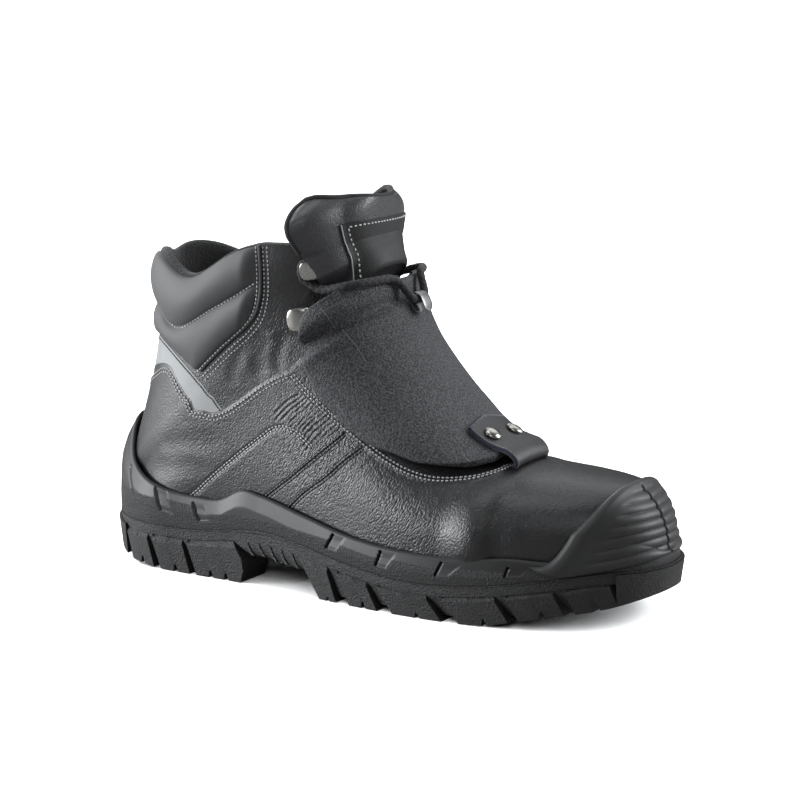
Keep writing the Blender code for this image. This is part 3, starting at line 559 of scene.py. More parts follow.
mask = add(tree, "Attribute", attribute_name="grained").outputs["Fac"]
tree.links.new(grain_mix(tree, mask, 0.46, 0.62), shader.inputs["Roughness"])
add_bump(tree, shader, grain["Height"], grain_mix(tree, mask, 0.06, 0.9), SOLE_GRAIN)
midsole = shoe_piece(
    "midsole", points, stack_faces(len(points), len(SOLE_ALONG)), band_rubber, "sole", ["midsole"], 50
)


def paint(piece, name, value_at):
    """Stores a value at each point of a piece, worked out from its place in millimetres."""
    place = np.empty(len(piece.data.vertices) * 3)
    piece.data.vertices.foreach_get("co", place)
    place = place.reshape(-1, 3) / MM + (LENGTH / 2, 0, 0)
    layer = piece.data.attributes.new(name, "FLOAT", "POINT")
    layer.data.foreach_set("value", np.asarray(value_at(*place.T), float))


def midsole_grain(x, y, z):
    """1 where the side of the midsole is grained."""
    return midsole_relief(np.clip(x, 0, LENGTH), z)[1]


paint(midsole, "grained", midsole_grain)


# Upper: vamp, quarters and heel counter of black grain leather over a last, sewn with steps at the
# panel edges. Its surface is a fan of sections from ridge to sole; creases are laid in one by one.
UPPER_INSET = 5.5  # leather sits inside the sole outline
WALL = 2.2  # leather with its lining
CLOSED_ROW = 14  # sections from here on close round the heel
LAST_ROW = 19
QUARTER = 90  # points of a section from the ridge to its widest place
FAN = table(
    "row top_x top_z foot_x foot_z wide_lateral wide_medial level top_round foot_round",
    (0, 296.5, 36.5, 296.5, 0, 0, 0, 0.50, 2.2, 2.0),
    (1, 294.5, 45.2, 294.5, 0, 0, 0, 0.45, 2.2, 2.0),
    (2, 289.5, 54.3, 289.5, 0, 0, 0, 0.40, 2.3, 2.0),
    (3, 281, 61.4, 281, 0, 0, 0, 0.38, 2.4, 2.0),
    (4, 269.5, 63.8, 269.5, 0, 0, 0, 0.35, 2.4, 2.0),
    (5, 254, 65, 254, 0, 0, 0, 0.32, 2.4, 2.0),
    (6, 232, 66.3, 231, 0, 48, 48, 0.30, 2.4, 2.0),
    (7, 207, 71, 202, 0, 49, 46.5, 0.28, 2.2, 2.0),
    (8, 188, 81.5, 172, 0, 47, 41.5, 0.28, 2.2, 2.0),
    (9, 173, 97.5, 140, 0, 42.8, 37, 0.30, 2.4, 2.0),
    (10, 162.5, 114.5, 107, 0, 39, 34, 0.34, 2.6, 2.0),
    (11, 155.5, 130, 74, 0, 36.5, 33.5, 0.38, 2.8, 2.0),
    (12, 151.5, 142.5, 44, 0, 35, 33.5, 0.42, 3.0, 2.05),
    (13, 149, 150.5, 20, 0, 34.5, 33.5, 0.46, 3.0, 2.1),
    (14, 148, 157, 5.5, 31, 34.5, 33.5, 0.50, 3.0, 2.15),
    (15, 147, 161.5, 8.2, 51, 34.5, 34, 0.52, 3.0, 2.15),
    (16, 146.5, 164.5, 15.5, 76, 35, 34.5, 0.52, 3.0, 2.1),
    (17, 146, 167, 22.5, 102, 36, 35.5, 0.52, 3.0, 2.1),
    (18, 146, 169.5, 25.8, 128, 37, 36.5, 0.52, 3.0, 2.1),
    (19, 146, 172, 27, 155, 37.5, 37, 0.52, 3.0, 2.1),
)


@functools.lru_cache(maxsize=None)
def section(row, side):
    """Foot and top point of one section, its width and height share from ridge to foot, its arc."""
    at = {name: float(smooth(FAN, name, row, "row")) for name in FAN}
    foot_half = 0.0
    if row < CLOSED_ROW:
        at["foot_z"] = float(height("feather", at["foot_x"]))
        foot_half = float(edge(at["foot_x"], side, UPPER_INSET))
    wide = max(at["wide_lateral" if side == LATERAL else "wide_medial"], foot_half)
    level, top_round, foot_round = at["level"], at["top_round"], at["foot_round"]
    turn = np.linspace(0, math.pi / 2, QUARTER)
    share = level + (1 - level) * np.abs(np.cos(turn)) ** (2 / top_round)
    half = wide * np.sin(turn) ** (2 / top_round)
    below = np.sin(turn[1:]) ** (2 / foot_round)
    draw_in = 1 - (foot_half / wide) ** foot_round if wide > 0 else 0.0
    low_half = wide * np.maximum(1 - draw_in * below**foot_round, 0) ** (1 / foot_round)
    share = np.concatenate([share, level * (1 - below)])
    half = np.concatenate([half, low_half])
    share[QUARTER - 1], share[-1], half[-1] = level, 0.0, foot_half
    foot = np.array([at["foot_x"], at["foot_z"]])
    top = np.array([at["top_x"], at["top_z"]])
    reach = np.linalg.norm(top - foot)
    arc = np.concatenate([[0], np.cumsum(np.hypot(np.diff(share) * reach, np.diff(half)))])
    return foot, top, share, half, arc / arc[-1], arc[-1]


def hump(value, at, wide):
    """Soft rise to 1 at a place, and down to both sides of it."""
    return np.exp(-(((value - at) / wide) ** 2))


def run_along(path):
    """Length along a path to each of its points."""
    return np.concatenate([[0], np.cumsum(np.linalg.norm(np.diff(path, axis=0), axis=1))])


def unit(vectors):
    """Vectors of length 1 with the same directions."""
    return vectors / np.linalg.norm(vectors, axis=-1)[..., None]


def form_grid(side):
    """Surface of the upper on a fine net of rows and shares, eased where the heel sections begin."""
    net = []
    for row in NET_ROWS:
        foot, top, share, half, arc, _ = section(float(row), side)
        s = np.interp(NET_SHARES, arc, share)
        x, z = (foot + (top - foot) * s[:, None]).T
        net.append(np.stack([x, side * np.interp(NET_SHARES, arc, half), z], 1))
    net = np.array(net)
    net[0, :, 1] = 0
    ease_in = hump(NET_ROWS, CLOSED_ROW, 0.55)[1:-1, None, None] * 0.5
    for _ in range(150):
        net[1:-1] += ease_in * ((net[2:] + net[:-2]) / 2 - net[1:-1])
    return net


def outward_grid(net, side):
    """Directions out of the surface on the same net."""
    out = np.cross(np.gradient(net, axis=1), np.gradient(net, axis=0)) * side
    out[:, 0, 1] = 0
    out[NET_ROWS >= CLOSED_ROW, -1, 1] = 0
    out[:10] = out[10]
    return out / (np.linalg.norm(out, axis=-1)[..., None] + 1e-9)


NET_ROWS = np.linspace(0, LAST_ROW, 951)
NET_SHARES = np.linspace(0, 1, 201)
form = {side: form_grid(side) for side in SIDES}
outward = {side: outward_grid(form[side], side) for side in SIDES}


def look_up(net, row, share):
    """Values of a net at places between its points."""
    r = np.clip(row, 0, LAST_ROW) * (len(NET_ROWS) - 1.001) / LAST_ROW
    s = np.clip(share, 0, 1) * (len(NET_SHARES) - 1.001)
    i, j = r.astype(int), s.astype(int)
    a, b = (r - i)[..., None], (s - j)[..., None]
    low = net[i, j] * (1 - b) + net[i, j + 1] * b
    high = net[i + 1, j] * (1 - b) + net[i + 1, j + 1] * b
    return low * (1 - a) + high * a


def skin(row, share, side, lift=0.0):
    """Points of the upper lifted off its surface: share is 0 on the ridge, 1 at sole or heel back."""
    row, share, lift = np.broadcast_arrays(*(np.asarray(value, float) for value in (row, share, lift)))
    return look_up(form[side], row, share) + lift[..., None] * look_up(outward[side], row, share)


def half_share(row, y, side):
    """Share of the section at which its upper part is y wide."""
    _, _, _, half, arc, _ = section(float(row), side)
    return float(np.interp(y, half[:QUARTER], arc[:QUARTER]))


THROAT = table(
    "row half",
    (6.6, 0),
    (6.66, 7),
    (6.8, 13),
    (7.1, 18.5),
    (7.6, 22),
    (8.2, 25),
    (9, 27.5),
    (11, 30.5),
    (14, 30),
    (17, 28),
    (18, 29),
    (19, 32),
)
COLLAR_DIPS = table(  # how many rows the collar drops by at the ankle, the heel back and the facing
    "deep share wide",
    (0.68, 0.655, 0.14),
    (0.13, 1, 0.05),
    (0.85, 0.17, 0.13),
)


def collar_row(row, share):
    """Rows near the top squeezed under the dipped collar edge."""
    top = LAST_ROW
    for deep, at, wide in rows_of(COLLAR_DIPS):
        top = top - deep * hump(share, at, wide)
    squeeze = (top - CLOSED_ROW) / (LAST_ROW - CLOSED_ROW)
    return np.where(row < CLOSED_ROW, row, CLOSED_ROW + (row - CLOSED_ROW) * squeeze)


def throat_share(row, side):
    """Share of the section at the edge of the throat, or 0 in front of it."""
    if row <= THROAT["row"][0]:
        return 0.0
    return half_share(row, float(smooth(THROAT, "half", row, "row")), side)


THROAT_SEAM = (
    (6.2, 0.02),
    (6.24, 0.14),
    (6.33, 0.285),
    (6.55, 0.385),
    (6.9, 0.45),
    (7.35, 0.498),
    (7.93, 0.517),
    (8.62, 0.51),
    (9.38, 0.487),
    (10.23, 0.467),
    (10.65, 0.45),
    (11.1, 0.436),
    (11.45, 0.425),
    (11.88, 0.412),
)
COUNTER_SEAM = (
    (11.98, 0.397),
    (12.2, 0.435),
    (12.43, 0.483),
    (12.6, 0.55),
    (12.82, 0.603),
    (13.15, 0.623),
    (13.68, 0.615),
    (14.38, 0.613),
    (15.23, 0.665),
    (15.9, 0.718),
    (16.3, 0.763),
    (16.45, 0.802),
    (16.47, 0.84),
    (16.42, 1.0),
)
FACING_SEAM = ((11.82, 0.3), (11.88, 0.358), *COUNTER_SEAM)  # on to the facing edge
SADDLE_SEAM = (
    (11.75, 0.965),
    (11.68, 0.927),
    (11.6, 0.85),
    (11.5, 0.778),
    (11.35, 0.69),
    (11.25, 0.64),
    (11.15, 0.6),
    (10.9, 0.578),
    (10.7, 0.578),
    (10.45, 0.585),
    (10.03, 0.613),
)
SIDE_SEAMS = (
    ((10.33, 0.885), (10.1, 0.77), (9.93, 0.67), (9.75, 0.575), (9.6, 0.487)),
    ((9.85, 0.925), (9.68, 0.8), (9.47, 0.705), (9.3, 0.605), (9.08, 0.497)),
)
COUNTER_TOP = table("share row", (0.8, 16.45), (0.84, 16.47), (1, 16.42))
THROAT_END = 11.95  # row where the throat panel stops
LEATHER_STEP = 0.65  # a panel lies this much over the next
PATH_STEP = 0.5  # between points along a seam


def seam_path(places, side, lift=0.0):
    """Rows and shares close together along a seam, and their points in space."""
    places = np.array(places, float)
    coarse = skin(*places.T, side)
    knots = run_along(coarse)
    columns = {"at": knots, "row": places[:, 0], "share": places[:, 1]}
    at = np.arange(0, knots[-1], PATH_STEP)
    row, share = (smooth(columns, name, at, "at") for name in ("row", "share"))
    return row, share, skin(row, share, side, lift)


def nearest(points, path):
    """Distance of each point from the closest point of a path."""
    flat = points.reshape(-1, 3)
    far = np.empty(len(flat))
    for start in range(0, len(flat), 4000):
        some = flat[start : start + 4000]
        square = (some**2).sum(1)[:, None] + (path**2).sum(1) - 2 * some @ path.T
        far[start : start + 4000] = np.sqrt(np.maximum(square.min(1), 0))
    return far.reshape(points.shape[:-1])


CREASES = table(
    "row share end_row end_share wide deep",
    (13.4, 0.33, 12.5, 0.40, 3.0, 0.3),
    (14.2, 0.36, 13.0, 0.46, 3.6, 0.35),
    (15.0, 0.38, 13.8, 0.50, 3.2, 0.25),
    (11.20, 0.452, 11.38, 0.53, 0.75, 0.24),
    (11.09, 0.455, 11.25, 0.545, 0.7, 0.27),
    (10.97, 0.457, 11.12, 0.56, 0.75, 0.3),
    (10.86, 0.459, 11.0, 0.55, 0.7, 0.3),
    (10.75, 0.461, 10.88, 0.56, 0.75, 0.34),
    (10.65, 0.462, 10.79, 0.555, 0.7, 0.3),
    (10.54, 0.463, 10.68, 0.565, 0.75, 0.34),
    (10.43, 0.464, 10.58, 0.57, 0.7, 0.34),
    (10.32, 0.466, 10.47, 0.585, 0.75, 0.36),
    (10.20, 0.467, 10.37, 0.60, 0.75, 0.36),
    (10.09, 0.469, 10.27, 0.61, 0.7, 0.34),
    (9.98, 0.470, 10.15, 0.62, 0.75, 0.3),
    (9.87, 0.472, 10.04, 0.6, 0.7, 0.3),
    (9.76, 0.475, 9.9, 0.58, 0.75, 0.24),
    (9.45, 0.50, 9.62, 0.60, 0.8, 0.2),
    (9.30, 0.50, 9.45, 0.58, 0.8, 0.2),
    (8.95, 0.51, 9.05, 0.60, 0.9, 0.2),
    (8.75, 0.515, 8.83, 0.60, 0.9, 0.16),
    (8.5, 0.52, 8.56, 0.61, 1.0, 0.14),
    (12.3, 0.72, 13.5, 0.76, 4.5, 0.2),
    (12.1, 0.82, 13.3, 0.85, 4.5, 0.2),
)
throat_edge, counter_edge, groove_paths, crease_paths = {}, {}, {}, {}
for side in SIDES:
    throat_edge[side] = seam_path(THROAT_SEAM, side)[2]
    counter_edge[side] = seam_path(FACING_SEAM, side)[2]
    groove_paths[side] = [seam_path(path, side)[2] for path in (SADDLE_SEAM, *SIDE_SEAMS)]
    crease_paths[side] = []
    for number, (row, share, end_row, end_share, _, _) in enumerate(rows_of(CREASES)):
        middle = ((row + end_row) / 2 + 0.03 + 0.02 * math.sin(7 * number), (share + end_share) / 2)
        end = (end_row, end_share + 0.025 * math.sin(5 * number))
        crease_paths[side].append(seam_path(((row, share), middle, end), side)[2])
counter_limit = np.array(FACING_SEAM[:-1])


def leather_lift(row, share, side):
    """Height of the leather over the fan surface: panel steps, pulled seams and creases."""
    row, share = np.broadcast_arrays(np.asarray(row, float), np.asarray(share, float))
    points = skin(row, share, side)
    below = (share > np.interp(row, *counter_limit.T)) & (row < np.interp(share, *COUNTER_TOP.values()))
    below = below | (row < FACING_SEAM[0][0])
    far = nearest(points, counter_edge[side]) * np.where(below, 1, -1)
    lift = LEATHER_STEP / 2 * (1 + ease(0.5 + far / 1.2))
    inside = (row > THROAT_SEAM[0][0]) & (row < THROAT_END) & (far > -1)
    inside = inside & (share < np.interp(row, *np.transpose(THROAT_SEAM)))
    far = nearest(points, throat_edge[side]) * np.where(inside, 1, -1)
    lift = lift + LEATHER_STEP * ease(0.5 + far / 1.2) + 0.15 * hump(far, 0.8, 0.8)
    for path in groove_paths[side]:
        lift = lift - 0.4 * hump(nearest(points, path), 0, 1.1)
    for path, wide, deep in zip(crease_paths[side], CREASES["wide"], CREASES["deep"]):
        away = nearest(points, path) / wide
        lift = lift + 0.75 * deep * (0.4 * hump(away, 1.6, 0.7) - hump(away, 0, 1))
    return lift


row_runs = ((0, 6, 50), (6, 9.5, 72), (9.5, 11.5, 96), (11.5, 14, 52), (14, 19, 92))
UPPER_ROWS = np.concatenate([np.linspace(*run)[:-1] for run in row_runs] + [[LAST_ROW]])
UPPER_COLUMNS = 101
INNER_STEP = 10  # the lining side is that much coarser
sides = []
for side in SIDES:
    begin = np.array([throat_share(row, side) for row in UPPER_ROWS])[:, None]
    share = begin + (1 - begin) * np.linspace(0, 1, UPPER_COLUMNS)
    row = collar_row(UPPER_ROWS[:, None], share)
    facing = ease((share - begin) * 40)
    outer = skin(row, share, side, leather_lift(row, share, side) - 0.5 * (1 - facing) * (begin > 0))
    coarse = slice(None, None, INNER_STEP)
    inner = skin(row[:, coarse], share[:, coarse], side, -WALL)
    count, coarse_count = outer.shape[0] * outer.shape[1], inner.shape[1]
    faces = grid_faces(len(UPPER_ROWS), UPPER_COLUMNS)
    faces += [face[::-1] for face in grid_faces(len(UPPER_ROWS), coarse_count, count)]
    for i in range(len(UPPER_ROWS) - 1):
        for a, b in ((0, 0), (UPPER_COLUMNS - 1, coarse_count - 1)):
            if np.abs(outer[i : i + 2, a, 1]).max() > 0.05:
                first, second = i * UPPER_COLUMNS + a, (i + 1) * UPPER_COLUMNS + a
                below = count + i * coarse_count + b
                faces.append([first, second, below + coarse_count, below])
    top = (len(UPPER_ROWS) - 1) * UPPER_COLUMNS
    top_inner = count + (len(UPPER_ROWS) - 1) * coarse_count
    for j in range(coarse_count - 1):
        strip = list(range(top + j * INNER_STEP, top + (j + 1) * INNER_STEP + 1))
        faces.append(strip + [top_inner + j + 1, top_inner + j])
    sides.append((np.concatenate([outer.reshape(-1, 3), inner.reshape(-1, 3)]), faces))

hide, given, taken = new_group("Leather grain", {"Cell": 1.2, "Wrinkle": 0.5}, ("Height", "Patches"))
STROKE_LEAN = math.radians(-36)  # the grain is drawn out along strokes that lean to the toe
place = millimetres(hide)
drift = add(hide, "TexNoise", {"Vector": place, "Scale": 0.25, "Detail": 2.0}).outputs["Color"]
drift = add(hide, "VectorMath", {0: drift, 3: 2.4}, operation="SCALE").outputs[0]
warped = add(hide, "VectorMath", {0: place, 1: drift}, operation="ADD").outputs[0]
per_cell = math_node(hide, "DIVIDE", 1.0, given["Cell"])
pebble = add(hide, "TexVoronoi", {"Vector": warped, "Scale": per_cell}).outputs["Distance"]
pebble = math_node(hide, "POWER", pebble, 2.0)
lean = {"Vector": warped, "Angle": STROKE_LEAN}
turned = add(hide, "VectorRotate", lean, rotation_type="Y_AXIS").outputs[0]
pulled = add(hide, "VectorMath", {0: turned, 1: (1.25, 1.1, 0.55)}, operation="MULTIPLY").outputs[0]
fold = add(hide, "TexVoronoi", {"Vector": pulled, "Scale": 1.0}).outputs["Distance"]
fold = math_node(hide, "MULTIPLY", math_node(hide, "POWER", fold, 2.0), given["Wrinkle"])
fine, coarse = (math_node(hide, "MULTIPLY", pit, deep) for pit, deep in ((pebble, 0.34), (fold, 1.6)))
pits = math_node(hide, "ADD", fine, coarse)
hide.links.new(math_node(hide, "SUBTRACT", 1.0, pits), taken["Height"])
cloud = add(hide, "TexNoise", {"Vector": place, "Scale": 0.07, "Detail": 5.0}).outputs["Fac"]
hide.links.new(cloud, taken["Patches"])

LEATHER_BLACK = (0.009, 0.009, 0.0098, 1)


def leather(name, colour, rough, cell, wrinkle, deep, **sockets):
    """Grained leather; wrinkle is a value or the name of a painted one, deep the bump in millimetres."""
    made, tree, shader = new_material(name, Base_Color=colour, **sockets)
    if isinstance(wrinkle, str):
        wrinkle = add(tree, "Attribute", attribute_name=wrinkle).outputs["Fac"]
    grain = use_group(tree, hide, {"Cell": cell, "Wrinkle": wrinkle})
    patches = grain_mix(tree, grain["Patches"], rough - 0.09, rough + 0.09)
    tree.links.new(patches, shader.inputs["Roughness"])
    add_bump(tree, shader, grain["Height"], 1.0, deep)
    return made


upper_leather = leather("upper leather", LEATHER_BLACK, 0.4, 0.85, "wrinkle", 0.21)
upper = shoe_piece("upper", *join(sides), upper_leather, "upper_leather", ["upper"], 60)
WRINKLED = table(
    "x z reach most",
    (138, 74, 30, 1.0),
    (185, 52, 36, 0.85),
    (225, 46, 30, 0.5),
    (255, 48, 24, 0.45),
    (120, 122, 34, 0.4),
    (75, 65, 45, 0.3),
    (30, 80, 40, 0.1),
)


def wrinkled(x, y, z):
    """How wrinkled the grain is, strongest near the flexing places."""
    most = np.full_like(x, 0.08)
    for at_x, at_z, reach, value in rows_of(WRINKLED):
        most = np.maximum(most, value * np.exp(-((x - at_x) ** 2 + (z - at_z) ** 2) / reach**2))
    return most


paint(upper, "wrinkle", wrinkled)


# Toe bumper: a moulded rubber cap over the toe, glued to the vamp and over the side of the sole. It
# has a plain border, ribs to each side of a centre seam, and a raised lip along its edge.
BUMPER_THICK = 2.3
BUMPER_BASE = 0.6  # its inner face lies that far over the leather
BUMPER_OUT = 2.2  # from the foot of the leather to the side of the sole that it covers
BUMPER_LONG = 34.0  # from its tip to its edge
BUMPER_EDGE = table(  # row of its edge, from the ridge to the sole rim
    "across row",
    (0, 3.1),
    (0.19, 3.17),
    (0.39, 3.31),
    (0.54, 3.53),
    (0.65, 3.77),
    (0.75, 4.07),
    (0.84, 4.4),
    (0.92, 4.74),
    (0.98, 5.08),
    (1, 5.25),
)
RIB_PITCH = (4.5, 5.0)  # height of a rib in front and at the sides
RIBS_TOP = 63.0  # height where the ribs stop
RIB_DEEP = 1.0


def above_rim(row, side):
    """Share of the section at which it meets the sole rim."""
    low, high = np.zeros_like(row), np.ones_like(row)
    for _ in range(30):
        middle = (low + high) / 2
        point = skin(row, middle, side, 0.3)
        above = point[..., 2] > height("rim", np.clip(point[..., 0], 0, LENGTH)) + 0.3
        low, high = np.where(above, middle, low), np.where(above, high, middle)
    return low


BUMPER_SPLIT = 0.78  # from here down it leaves the leather and covers the side of the sole
BUMPER_LOW = table(
    "x z",
    (240, 33),
    (249, 31),
    (255, 28.5),
    (262, 26.2),
    (272, 26.6),
    (283, 28.4),
    (293, 30.6),
    (302, 33),
)
BUMPER_BORDER = table("across plain fade", (0, 3, 1.5), (0.3, 3.5, 2.5), (0.6, 5, 4), (1, 4, 5))


def bumper_sheet(row, across, side, lift):
    """Points of the cap, lifted off the leather above and off the side of the sole below."""
    top_share = np.minimum(across, BUMPER_SPLIT) * above_rim(row, side)
    over = skin(row, top_share, side, lift)
    foot = skin(row, np.ones_like(row), side)
    out = look_up(outward[side], row, np.ones_like(row)) * (1, 1, 0)
    out[..., 1] *= np.minimum(row / 0.7, 1)
    low = foot + unit(out) * (BUMPER_OUT + lift)[..., None]
    bulge = low.copy()
    bulge[..., 2] = height("rim", np.clip(low[..., 0], 0, LENGTH)) + 1
    low[..., 2] = smooth(BUMPER_LOW, "z", low[..., 0])
    t = np.clip((across - BUMPER_SPLIT) / (1 - BUMPER_SPLIT), 0, 1)[..., None]
    return over * (1 - t) ** 2 + bulge * 2 * t * (1 - t) + low * t * t


way, across = np.meshgrid(np.linspace(0, 1, 150), np.linspace(0, 1, 130), indexing="ij")
row = way**1.3 * smooth(BUMPER_EDGE, "row", across, "across")
halves = []
for side in SIDES:
    plain = np.full_like(row, BUMPER_BASE + BUMPER_THICK)
    base = bumper_sheet(row, across, side, plain)
    from_edge = (1 - way) * BUMPER_LONG
    border = np.interp(across, BUMPER_BORDER["across"], BUMPER_BORDER["plain"])
    fade = np.interp(across, BUMPER_BORDER["across"], BUMPER_BORDER["fade"])
    ribbed = ease((from_edge - border) / fade)
    low = smooth(BUMPER_LOW, "z", base[..., 0])
    pitch = np.interp(np.abs(base[..., 1]), (0, 40), RIB_PITCH)
    rib = 1 - np.abs(np.sin(math.pi * np.clip(base[..., 2] - low, 0, None) / pitch)) ** 0.55
    rib = rib * ease((RIBS_TOP - base[..., 2]) / 1.5)
    lip = 0.7 * hump(from_edge, 1.8, 1.3) - 1.2 * ease(1 - from_edge / 0.9)
    seam = 1.4 * hump(base[..., 1], 0, 0.75) * ease((from_edge - 1) / 3)
    lift = plain + lip - RIB_DEEP * rib * ribbed - seam
    halves.append([bumper_sheet(row, across, side, over) for over in (lift, plain - BUMPER_THICK)])
outer, inner = (np.concatenate([half[:, :0:-1], other], axis=1) for half, other in zip(*halves))
BUMPER_BLACK = (0.019, 0.019, 0.0195, 1)
bumper_rubber = fine_grained(
    "bumper rubber", 0.35, 0.2, 0.1, (0.46, 0.58), Base_Color=BUMPER_BLACK, Roughness=0.5
)
shoe_piece("toe_bumper", *shell(outer, inner), bumper_rubber, "bumper", ["toe_bumper"], 50)


# Lining: black napped cloth inside the shaft, padded at the collar and turned over its top edge.
# It is sewn to the pad along the collar line and covers the inside of the quarters.
LINING_BLACK = (0.008, 0.008, 0.0085, 1)
lining = fine_grained(
    "lining cloth", 0.9, 1.0, 0.9,
    Base_Color=LINING_BLACK, Roughness=0.95, Sheen_Weight=0.18, Sheen_Roughness=0.5,
)
LINING = table(
    "drop lift",
    (0.02, 1.3),
    (-0.05, 0.6),
    (-0.08, -0.6),
    (-0.07, -2.2),
    (0.0, -3.8),
    (0.18, -5.0),
    (0.5, -5.4),
    (1.0, -4.6),
    (1.7, -3.4),
    (2.6, -2.8),
    (4.9, -2.6),
)
TURN_UP = 26.0  # height of a row over the collar edge


def both_sides(halves):
    """Grids of the outer and the inner side, joined at the heel back."""
    return [np.concatenate([half, other[:, -2::-1]], axis=1) for half, other in zip(*halves)]


lining_at = np.linspace(0, 1, 46)
steps = {"at": np.linspace(0, 1, len(LINING["drop"])), **LINING}
drop, lift = (smooth(steps, name, lining_at, "at")[:, None] for name in ("drop", "lift"))
halves = []
for side in SIDES:
    share = np.linspace(throat_share(18.9, side) + 0.012, 1, 90)[None, :]
    row = collar_row(float(LAST_ROW), share) - drop
    over = np.minimum(LAST_ROW, row)
    rise = np.maximum(row - LAST_ROW, 0)[..., None] * np.array([0, 0, TURN_UP])
    halves.append([skin(over, share, side, lift + shift) + rise for shift in (0, -0.8)])
inner, outer = both_sides(halves)
shoe_piece("lining", *shell(outer, inner), lining, "lining", sharp=70)


# Collar pad: soft smooth leather over foam, laid over the top of the quarters as an upper and a lower
# roll with a stitched channel between them, and a folded seam down its front edge.
PAD_LOW = (
    (17.6, 0.416, 17.43),
    (16.6, 0.419, 17.42),
    (15.95, 0.43, 17.4),
    (15.78, 0.45, 17.36),
    (15.7, 0.483, 17.29),
    (15.64, 0.517, 17.25),
    (15.55, 0.552, 17.21),
    (15.48, 0.583, 17.19),
    (15.5, 0.607, 17.16),
    (15.88, 0.647, 17.12),
    (16.33, 0.695, 17.13),
    (16.8, 0.758, 17.32),
    (17.2, 0.828, 17.74),
    (17.45, 1.0, 18.2),
)
PAD_PUFF = 4.2  # height of the upper roll
PAD_SPLIT = 0.4  # the lower roll takes that share of the grid
pad = table("low share channel", *PAD_LOW)
PAD_FRONT = pad["share"][0]
shares = np.concatenate([np.linspace(PAD_FRONT, 0.46, 22)[:-1], np.linspace(0.46, 1, 80)])
k = np.linspace(0, 1, 60)[:, None]
lower = k <= PAD_SPLIT
roll = np.where(lower, k / PAD_SPLIT, (k - PAD_SPLIT) / (1 - PAD_SPLIT))
halves = []
for side in SIDES:
    low, channel = (smooth(pad, name, shares, "share")[None, :] for name in ("low", "channel"))
    top = collar_row(float(LAST_ROW), shares)[None, :] - 0.01
    low = np.minimum(low, channel - 0.02)
    row = np.where(lower, low + (channel - low) * roll, channel + (top - channel) * roll)
    most = PAD_PUFF * np.where(lower, 0.9 - 0.35 * shares**2, 1.0)
    puff = most * np.sin(math.pi * np.clip(roll, 0, 1)) ** 0.6
    puff = np.where(lower, puff, puff + 0.9 * roll)
    front = ease((shares - PAD_FRONT) / 0.05) ** 0.6
    lift = 0.9 + (puff + 0.5) * front
    halves.append((skin(row, shares, side, lift), skin(row, shares, side, 0.35)))
outer, inner = both_sides(halves)
pad_leather = leather("collar leather", (0.064, 0.0645, 0.066, 1), 0.64, 0.8, 0.04, 0.06)
mesh = shell(outer, inner)
collar_pad = shoe_piece("collar_pad", *mesh, pad_leather, "collar_leather", ["collar_pad"], 60)


# Reflective strip: light grey cloth tape under the lower edge of the collar pad, held by the counter
# edge below and a dark seam above.
STRIP_TOP = (
    (12.91, 0.597),
    (13.4, 0.576),
    (14.0, 0.55),
    (14.49, 0.562),
    (15.05, 0.594),
    (15.5, 0.628),
    (15.91, 0.666),
    (16.27, 0.703),
    (16.61, 0.744),
    (16.91, 0.788),
    (17.18, 0.842),
    (17.4, 1.0),
)
STRIP_LOW = (
    (12.9, 0.602),
    (13.15, 0.616),
    (13.68, 0.611),
    (14.35, 0.607),
    (15.08, 0.649),
    (15.78, 0.704),
    (16.27, 0.749),
    (16.5, 0.792),
    (16.58, 0.822),
    (16.55, 1.0),
)
TAPE_GREY = (0.24, 0.25, 0.255, 1)
tape = fine_grained("reflective tape", 0.7, 0.3, 0.15, Base_Color=TAPE_GREY, Roughness=0.55)


def ribbon(high, low, side, count, lift):
    """Grid of rows and shares between two lines of places on the upper."""
    lines = []
    for places in (high, low):
        row, share, _ = seam_path(places, side)
        at = np.linspace(0, len(row) - 1, count)
        lines.append([np.interp(at, np.arange(len(row)), values) for values in (row, share)])
    blend = np.linspace(0, 1, 9)[:, None]
    row, share = (lines[0][i] * (1 - blend) + lines[1][i] * blend for i in (0, 1))
    return skin(row, share, side, lift)


halves = [[ribbon(STRIP_TOP, STRIP_LOW, side, 120, lift) for lift in (0.5, 0.2)] for side in SIDES]
outer, inner = both_sides(halves)
shoe_piece("reflective_strip", *shell(outer, inner), tape, "reflective_tape", sharp=60)


# Stitching: grey and black sewing thread along the panel edges, each stitch a small bead that sinks
# into the leather at both ends.
STITCH_LONG = 1.4
STITCH_PITCH = 2.1
STITCH_RADIUS = 0.42
# The third list gathers near-black beads between the stitches: painted shade for the needle holes.
light_stitches, dark_stitches, hole_shade_beads = [], [], []


def at_length(at, run, values):
    """Values of a path's points at other places along it."""
    return np.stack([np.interp(at, run, values[:, i]) for i in range(3)], 1)


def stitch_marks(points, up, shift, pitch, begin=0.5):
    """Middle, direction and up of each stitch along a path moved sideways."""
    way = unit(np.gradient(points, axis=0))
    points = points + shift * np.cross(up, way)
    run = run_along(points)
    at = np.arange(pitch * begin, run[-1] - pitch / 4, pitch)
    return [at_length(at, run, values) for values in (points, way, up)]


def sew(stitches, places, side, shift, lift, pitch=STITCH_PITCH):
    """Row of stitches along a seam of the upper, moved to the sole or toe side in millimetres."""
    row, share, _ = seam_path(places, side)
    points, up = skin(row, share, side, lift + 0.1 - shift**2 / 90), look_up(outward[side], row, share)
    stitches.append(stitch_marks(points, up, -shift * side, pitch))
    # Near-black bead between two stitches, a little sunk: painted shade where the needle hole is dark.
    hole_shade_beads.append(stitch_marks(points - up * 0.12, up, -shift * side, pitch, 1.0))


